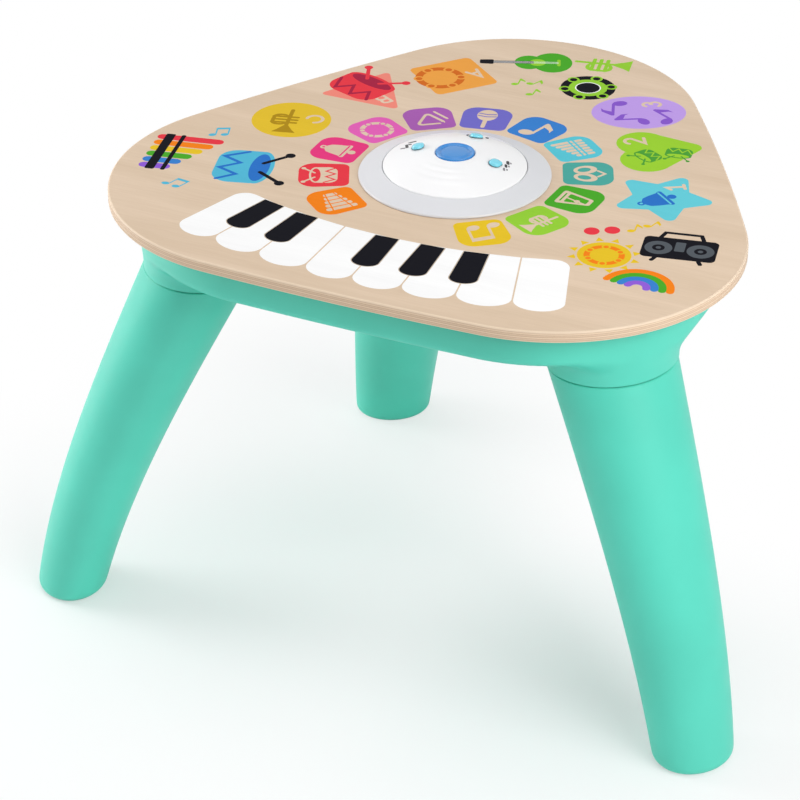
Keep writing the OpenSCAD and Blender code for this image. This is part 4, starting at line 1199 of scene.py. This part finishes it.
def cross_screw(shank_r, shank_l, head_r, head_t):
    """Points and faces of a screw that points up from its seat at z = 0, with a cross recess."""
    profile = [(0.001, -head_t), (head_r * 0.5, -head_t), (head_r * 0.85, -head_t * 0.88),
               (head_r, -head_t * 0.6), (head_r, 0), (shank_r, 0), (shank_r, shank_l - 0.8),
               (shank_r - 0.7, shank_l), (0.001, shank_l)]
    made = solid(lathe(profile, 32))
    long, short = head_r * 0.55, head_r * 0.13
    combine(made, [box_tool((-a, -b, -head_t - 1), (a, b, -head_t * 0.5))
                   for a, b in ((long, short), (short, long))])
    points = np.array([v.co for v in made.data.vertices]) / MM - (0, CENTRE_Y, 0)
    faces = [tuple(face.vertices) for face in made.data.polygons]
    bpy.data.objects.remove(made)
    return points, faces


def make_screws(node, body, screw, places):
    """One piece of equal screws; places are calls that move a screw's points."""
    points, faces = [], []
    for i, place in enumerate(places):
        points.append(place(screw[0]))
        faces += [tuple(v + i * len(screw[0]) for v in face) for face in screw[1]]
    made = new_object(node + "_cross_head", np.concatenate(points), faces, [steel])
    return finish_piece(made, body, [node], 30)


def leg_screw_place(reach, angle):
    def place(points):
        along = np.stack((points[:, 2] - LEG_TOP[0] - PAD_T, points[:, 1],
                          LEG_SCREW_Z - points[:, 0]), 1)
        return leg_place(reach, angle, along)
    return place


def upright_place(x, y, z):
    return lambda points: points + (x, y, z)


def make_all_screws():
    screw = cross_screw(SHANK_R + 1, LEG_SCREW_L, LEG_SCREW_HEAD, LEG_SCREW_HEAD_T)
    make_screws("leg_screws", "table", screw, [leg_screw_place(*leg) for leg in LEGS.values()])
    screw = cross_screw(SHANK_R, BOSS_WEB + WOOD_BITE, SCREW_HEAD_R, SCREW_HEAD_T)
    make_screws("tabletop_screws", "table", screw,
                [upright_place(*at, WOOD_Z - BOSS_WEB) for at in BOSSES])
    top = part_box("housing_screws")[1].z / MM
    screw = cross_screw(SHANK_R, top - TOWER_SEAT, SCREW_HEAD_R, SCREW_HEAD_T)
    make_screws("housing_screws", "table", screw,
                [upright_place(*at, TOWER_SEAT) for at in TOWERS])
    low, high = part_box("door_screw")
    seat = FLOOR_Z + 1
    screw = cross_screw(SHANK_R, high.z / MM - seat, SCREW_HEAD_R, DOOR_SCREW_HEAD_T)
    make_screws("door_screw", "door", screw,
                [upright_place(0, (low.y + high.y) / 2 / MM - CENTRE_Y, seat)])


# ---------------------------------------------------------------- control unit

RING_EDGE_T = 1.4
RING_SEAT_T = 1.4
RING_BORE_R = 62.2
DOME_SPHERE_R = 127.0
DOME_EDGE_H = 7.5
DOME_LOW = TABLE_H + DOME_EDGE_H - math.sqrt(DOME_SPHERE_R ** 2 - DOME_R ** 2)
DOME_WALL = 2.2
BUTTON_R = 13.6
FLANGE_T, FLANGE_W = 1.2, 1.8
STEM_R = 3.0
SPRING_R, SPRING_WIRE, SPRING_TURNS = 5.5, 0.4, 6
KNOB_R = 4.2
KNOB_T = 2.4
KNOB_TIP = 1.24
KNOB_STEM = 1.2
# Height on a knob below which its faces take the dark teal painted shadow
SHADOW_BAND_TOP = 0.85
# Rows of a knob, lowest first: inset from its outline, height and shift along its length
KNOB_ROWS = ((-0.1, 0.2, -0.4), (-0.3, 0.35, -0.4), (-0.3, 0.7, -0.4), (-0.1, 0.82, -0.2),
             (0, 1.1, 0), (0, KNOB_T - 0.9, 0), (0.25, KNOB_T - 0.4, 0), (0.7, KNOB_T, 0),
             (1.5, KNOB_T + 0.3, 0), (2.6, KNOB_T + 0.45, 0))
SLOT_W, SLOT_SPARE = 3.0, 0.6
PRINT_T, PRINT_DEPTH = 0.09, 0.2
# Reach and direction of each knob's middle, turn of its tip, and travel of its slot
KNOBS = {
    "mode_slider": (28.0, 180.0, 60.0, (-6.0, 0.0)),
    "power_slider": (36.0, 90.0, 0.0, (-2.0, 2.0)),
    "volume_slider": (30.0, 0.0, 35.0, (-2.0, 2.0)),
}
KNOB_BODY = {"mode_slider": "mode_knob", "power_slider": "power_knob",
             "volume_slider": "volume_knob"}


def dome_z(r):
    return DOME_LOW + math.sqrt(DOME_SPHERE_R ** 2 - r * r)


def make_light_ring():
    base = TABLE_H
    lip = DOME_R + 0.3
    top = base + DOME_EDGE_H - 0.2
    outer = [(RING_R - 0.9, base), (RING_R, base + 0.4), (RING_R, base + RING_EDGE_T - 0.3),
             (RING_R - 0.35, base + RING_EDGE_T + 0.35), (RING_R - 1.1, base + RING_EDGE_T + 0.75),
             (RING_R - 2.6, base + RING_EDGE_T + 1.1)]
    slope = [(lerp(RING_R - 2.6, lip + 0.8, t), lerp(base + RING_EDGE_T + 1.1, top, t))
             for t in np.linspace(0.1, 1, 8)]
    inner = [(lip + 0.2, top - 0.15), (lip, top - 0.8), (lip, base + RING_SEAT_T),
             (RING_BORE_R, base + RING_SEAT_T), (RING_BORE_R, base)]
    made = new_object("light_ring_bevel", *lathe(outer + slope + inner, 240), [ring_grey])
    return finish_piece(made, "table", ["light_ring"], 24)


# Ripples of the dome: their radii, the direction of their middle, half their sweep, and size
RIDGES = (24.4, 30.4, 36.8)
RIDGE_AT = 273.0
RIDGE_REACH = 40.0
RIDGE_H = 0.75
RIDGE_W = 2.3


def ridge_height(x, y):
    """Height of the soft ripples on the front left of the dome."""
    off = (math.degrees(math.atan2(y, x)) - RIDGE_AT + 180) % 360 - 180
    fade = max(0.0, math.cos(math.radians(90 * min(1.0, abs(off) / RIDGE_REACH))))
    r = math.hypot(x, y)
    return sum(RIDGE_H * math.exp(-((r - at) / RIDGE_W) ** 2) for at in RIDGES) * fade


def make_dome():
    edge = TABLE_H + 1.2
    profile = [(DOME_R, edge), (DOME_R, TABLE_H + DOME_EDGE_H - 0.5),
               (DOME_R - 0.25, TABLE_H + DOME_EDGE_H)]
    for r in np.linspace(DOME_R - 1.5, BUTTON_R + 1.2, 80):
        profile.append((r, dome_z(r)))
    lip = BUTTON_R + 0.3
    profile += [(lip + 0.35, dome_z(lip) - 0.05), (lip, dome_z(lip) - 0.5),
                (lip, dome_z(lip) - DOME_WALL)]
    for r in np.linspace(lip + 2, DOME_R - DOME_WALL, 12):
        profile.append((r, dome_z(r) - DOME_WALL))
    profile.append((DOME_R - DOME_WALL, edge))
    points, faces = lathe(profile, 256)
    for p in points:
        if p[2] > dome_z(min(math.hypot(p[0], p[1]), DOME_R)) - 0.02:
            p[2] += ridge_height(p[0], p[1])
    made = new_object("dome_shell", points, faces, [white])
    combine(made, [solid(prism(slot_outline(knob), TABLE_H + 2, TABLE_H + 40))
                   for knob in KNOBS])
    for mark in (mark_black, mark_grey):
        made.data.materials.append(mark)
    for shade, shape in control_marks():
        add_print(made, shape, shade)
    return finish_piece(made, "table", ["dome_cover"], 26)


def slot_outline(knob):
    """Slot of a knob as seen from above: a run with round ends along its travel."""
    reach, angle, _, travel = KNOBS[knob]
    ends = [(reach, travel[0] - SLOT_SPARE), (reach, travel[1] + SLOT_SPARE)]
    return [turned(p, angle) for p in stroke(ends, SLOT_W, 10)]


def control_marks():
    """Plain marks beside the knobs: slot number of their material, and outline."""
    lines = [(1, (6.2, 41.4), (4.9, 44.2), 2.3), (2, (-41.2, 0.8), (-38.8, 0.6), 2.0),
             (1, (-40.2, 7.0), (-37.2, 1.8), 2.0), (1, (-38.4, 7.4), (-37.4, 7.6), 2.2),
             (1, (-39.9, 12.0), (-36.8, 13.6), 2.6)]
    for shade, x, y, size in ((2, 37.2, -0.9, 0.85), (1, 36.5, 4.1, 1.0), (1, 35.8, 9.1, 1.15)):
        lines.append((shade, (x + 0.5 * size, y - 1.1 * size),
                      (x - 0.5 * size, y + 1.1 * size), 1.9 * size))
        lines.append((2, (x + 1.9, y + 0.6), (x + 1.5, y + 1.6), 1.1))
    ring = oval((-6.4, 39.2), 1.7, 3.5, 25, 25)
    return ([(1, stroke(ring[:-1], 1.1))]
            + [(shade, stroke([start, end], width)) for shade, start, end, width in lines])


def add_print(made, shape, slot):
    """Adds a thin printed area of one material slot to the top of the dome."""
    count = len(shape)
    lift = [[dome_z(math.hypot(*p)) + z for p in shape] for z in (-PRINT_DEPTH, PRINT_T)]
    points = [(p[0], p[1], z) for row in lift for p, z in zip(shape, row)]
    faces = [list(range(count))[::-1], list(range(count, 2 * count))]
    faces += [(i, (i + 1) % count, count + (i + 1) % count, count + i) for i in range(count)]
    grown = bmesh.new()
    grown.from_mesh(made.data)
    added = [grown.verts.new((x * MM, (y + CENTRE_Y) * MM, z * MM)) for x, y, z in points]
    for face in faces:
        grown.faces.new([added[i] for i in face]).material_index = slot
    grown.to_mesh(made.data)
    grown.free()


FLANGE_Z = dome_z(BUTTON_R + FLANGE_W + 0.3) - DOME_WALL - 0.3 - FLANGE_T


def make_button():
    """Button cap with a raised rim, a flange that stops under the dome, and its stem."""
    rim = dome_z(BUTTON_R + 0.3) + 1.0
    stem_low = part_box("center_button")[0].z / MM
    profile = [(0.001, stem_low), (STEM_R, stem_low), (STEM_R, FLANGE_Z),
               (BUTTON_R + FLANGE_W, FLANGE_Z), (BUTTON_R + FLANGE_W, FLANGE_Z + FLANGE_T),
               (BUTTON_R, FLANGE_Z + FLANGE_T), (BUTTON_R, rim - 0.9)]
    profile += [(BUTTON_R - 0.9 + 0.9 * math.cos(a), rim - 0.9 + 0.9 * math.sin(a))
                for a in np.linspace(0.2, math.pi / 2, 8)]
    profile += [(BUTTON_R - 1.5, rim - 0.2), (BUTTON_R - 2.1, rim - 0.8),
                (BUTTON_R - 2.8, rim - 1.1), (BUTTON_R - 3.6, rim - 1.0),
                (BUTTON_R - 4.4, rim - 0.55)]
    crown = 0.35
    reach = BUTTON_R - 5.0
    for r in np.linspace(reach, 0.001, 14):
        profile.append((r, rim - crown + crown * (1 - (r / reach) ** 2)))
    made = new_object("push_button_cap", *lathe(profile, 160), [blue])
    return finish_piece(made, "push_button", ["center_button"], 26)


def make_button_spring():
    """Coil from the board to the flange, which shortens as the button goes down."""
    low, high = (corner.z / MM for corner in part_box("button_spring"))
    steps, sides = 24, 10
    count = SPRING_TURNS * steps
    climb = (high - low - 2 * SPRING_WIRE) / count
    b = np.linspace(0, 2 * math.pi, sides, endpoint=False)
    r = SPRING_R + SPRING_WIRE * np.cos(b)
    rings = []
    for i in range(count + 1):
        x, y = polar(1, 360 * i / steps)
        z = low + SPRING_WIRE + climb * i - SPRING_WIRE * np.sin(b)
        rings.append(np.stack((r * x, r * y, z), 1))
    made = new_object("return_spring", *loft(rings), [steel])
    finish_piece(made, "table", ["button_spring"], 60)
    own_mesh(made)


def knob_ring(inset, z, shift):
    r = KNOB_R - inset
    reach = KNOB_TIP * r
    touch = math.degrees(math.acos(r / reach))
    points = arc((shift, 0), r, touch, 360 - touch, 40)
    tip = arc((reach - 1.1, 0), 0.9, -50, 50, 6)
    return flat_ring(points + tip, z)


def make_knob(name):
    """Drop-shaped knob with soft edges, on the slope of the dome, and its stem."""
    reach, angle, point_a, _ = KNOBS[name]
    slope = math.asin(reach / DOME_SPHERE_R)
    points, faces = loft([knob_ring(*row) for row in KNOB_ROWS])
    # Faces of the lowest rows take the dark teal: painted shadow of the gap under the knob
    shade = [1 if max(points[v][2] for v in face) < SHADOW_BAND_TOP else 0 for face in faces]
    made = new_object(name + "_knob", points, faces, [turquoise, knob_painted_shadow], shade)
    mesh = made.data
    for v in mesh.vertices:
        p = np.array(v.co) / MM - (0, CENTRE_Y, 0)
        p[:2] = turned(p[:2], point_a - angle)
        x, z = p[0], p[2]
        p[0] = reach + x * math.cos(slope) + z * math.sin(slope)
        p[2] = dome_z(reach) + z * math.cos(slope) - x * math.sin(slope)
        p[:2] = turned(p[:2], angle)
        v.co = (p + (0, CENTRE_Y, 0)) * MM
    stem = box_tool((-KNOB_STEM, -KNOB_STEM, TABLE_H),
                    (KNOB_STEM, KNOB_STEM, dome_z(reach) + 1.0))
    at = turned((reach, 0), angle)
    for v in stem.data.vertices:
        v.co.x += at[0] * MM
        v.co.y += at[1] * MM
    combine(made, [stem], "UNION")
    return finish_piece(made, KNOB_BODY[name], [name], 32)


# ---------------------------------------------------------------- stage, lights and camera

CAMERA_AZIMUTH = 24.993
CAMERA_ELEVATION = 31.116
CAMERA_AT = (0.7306, -1.6829, 1.2356)
CAMERA_LENS = 131.39


def make_camera():
    data = bpy.data.cameras.new("camera")
    data.lens = CAMERA_LENS
    data.sensor_width = 36.0
    made = bpy.data.objects.new("camera", data)
    made.location = CAMERA_AT
    made.rotation_euler = (math.radians(90 - CAMERA_ELEVATION), 0, math.radians(CAMERA_AZIMUTH))
    bpy.context.scene.collection.objects.link(made)
    bpy.context.scene.camera = made


# Spots of the floor where its white glow for the camera is weaker, so that the shadow shows:
# x and y of the middle, reach of the full effect, reach of its end, and share of the glow left
FLOOR_FADES = ((-0.038, -0.23, 0.21, 0.36, 0.62), (-0.245, -0.167, 0.09, 0.29, 0.66),
               (0.245, -0.167, 0.09, 0.29, 0.6), (-0.16, 0.14, 0.05, 0.27, 0.66))


def make_stage():
    """Plain pale floor that shows the soft shadow and fades to white away from the table."""
    f = Finish("studio_floor")
    f.set(Base_Color=(0.93, 0.93, 0.94, 1), Roughness=0.6)
    ray = f.add("LightPath")
    seen = ray.outputs["Is Camera Ray"]
    for x, y, near, far, level in FLOOR_FADES:
        away = f.add("VectorMath", {0: f.place, 1: (x, y, 0)}, operation="DISTANCE")
        fade = f.add("MapRange", {"Value": away.outputs["Value"], "From Min": near,
                                  "From Max": far, "To Min": level, "To Max": 1.0},
                     interpolation_type="SMOOTHSTEP").outputs[0]
        seen = f.add("Math", {0: seen, 1: fade}, operation="MULTIPLY").outputs[0]
    glow = f.add("Emission", {"Color": (1, 1, 1, 1), "Strength": 1.0})
    both = f.add("MixShader", {0: seen, 1: f.shader.outputs[0], 2: glow.outputs[0]})
    f.tree.links.new(both.outputs[0], f.tree.nodes["Material Output"].inputs["Surface"])
    half = 14000.0
    plane = new_object("studio_floor", [(-half, -half, 0), (half, -half, 0), (half, half, 0),
                                        (-half, half, 0)], [(0, 1, 2, 3)], [f.material])


# Lamps: name, place, height of the point it faces over the origin, size and power
LAMPS = (
    ("key", (2.0, -1.5, 2.0), 0.2, 1.4, 26.0), ("side", (1.1, -0.35, 0.85), 0.25, 0.7, 5.4),
    ("top", (0.0, 0.0, 2.6), 0.2, 2.0, 14.0), ("left", (-1.5, -0.25, 0.65), 0.25, 0.8, 13.0),
    ("rear", (-2.0, 0.7, 1.7), 0.2, 1.4, 7.0),
)
FILL_LEVEL = 0.3


def make_lamp(name, at, aim, size, power):
    data = bpy.data.lights.new(name, "AREA")
    data.shape = "DISK"
    data.size = size
    data.energy = power
    made = bpy.data.objects.new(name, data)
    made.location = at
    made.rotation_euler = (Vector((0, 0, aim)) - Vector(at)).to_track_quat("-Z", "Y").to_euler()
    bpy.context.scene.collection.objects.link(made)


def make_lights():
    """The lamps, and a world that is white to the camera and in gloss but lights weakly."""
    world = bpy.data.worlds.new("studio")
    bpy.context.scene.world = world
    world.use_nodes = True
    nodes, links = world.node_tree.nodes, world.node_tree.links
    ray = nodes.new("ShaderNodeLightPath")
    seen = nodes.new("ShaderNodeMath")
    seen.operation = "MAXIMUM"
    links.new(ray.outputs["Is Camera Ray"], seen.inputs[0])
    links.new(ray.outputs["Is Glossy Ray"], seen.inputs[1])
    strength = nodes.new("ShaderNodeMapRange")
    strength.inputs["To Min"].default_value = FILL_LEVEL
    strength.inputs["To Max"].default_value = 1.0
    links.new(seen.outputs[0], strength.inputs["Value"])
    background = nodes["Background"]
    background.inputs["Color"].default_value = (1, 1, 1, 1)
    links.new(strength.outputs[0], background.inputs["Strength"])
    for lamp in LAMPS:
        make_lamp(*lamp)


scene = bpy.context.scene
scene.view_settings.view_transform = "Standard"
make_camera()
make_stage()
make_lights()
draw_keyboard()
draw_tiles()
draw_shapes()
draw_scenes()
make_tabletop()
make_base_shell()
for leg_name, leg_at in LEGS.items():
    make_leg(leg_name, *leg_at)
make_all_screws()
make_light_ring()
make_dome()
make_button()
make_button_spring()
for knob_name in KNOBS:
    make_knob(knob_name)
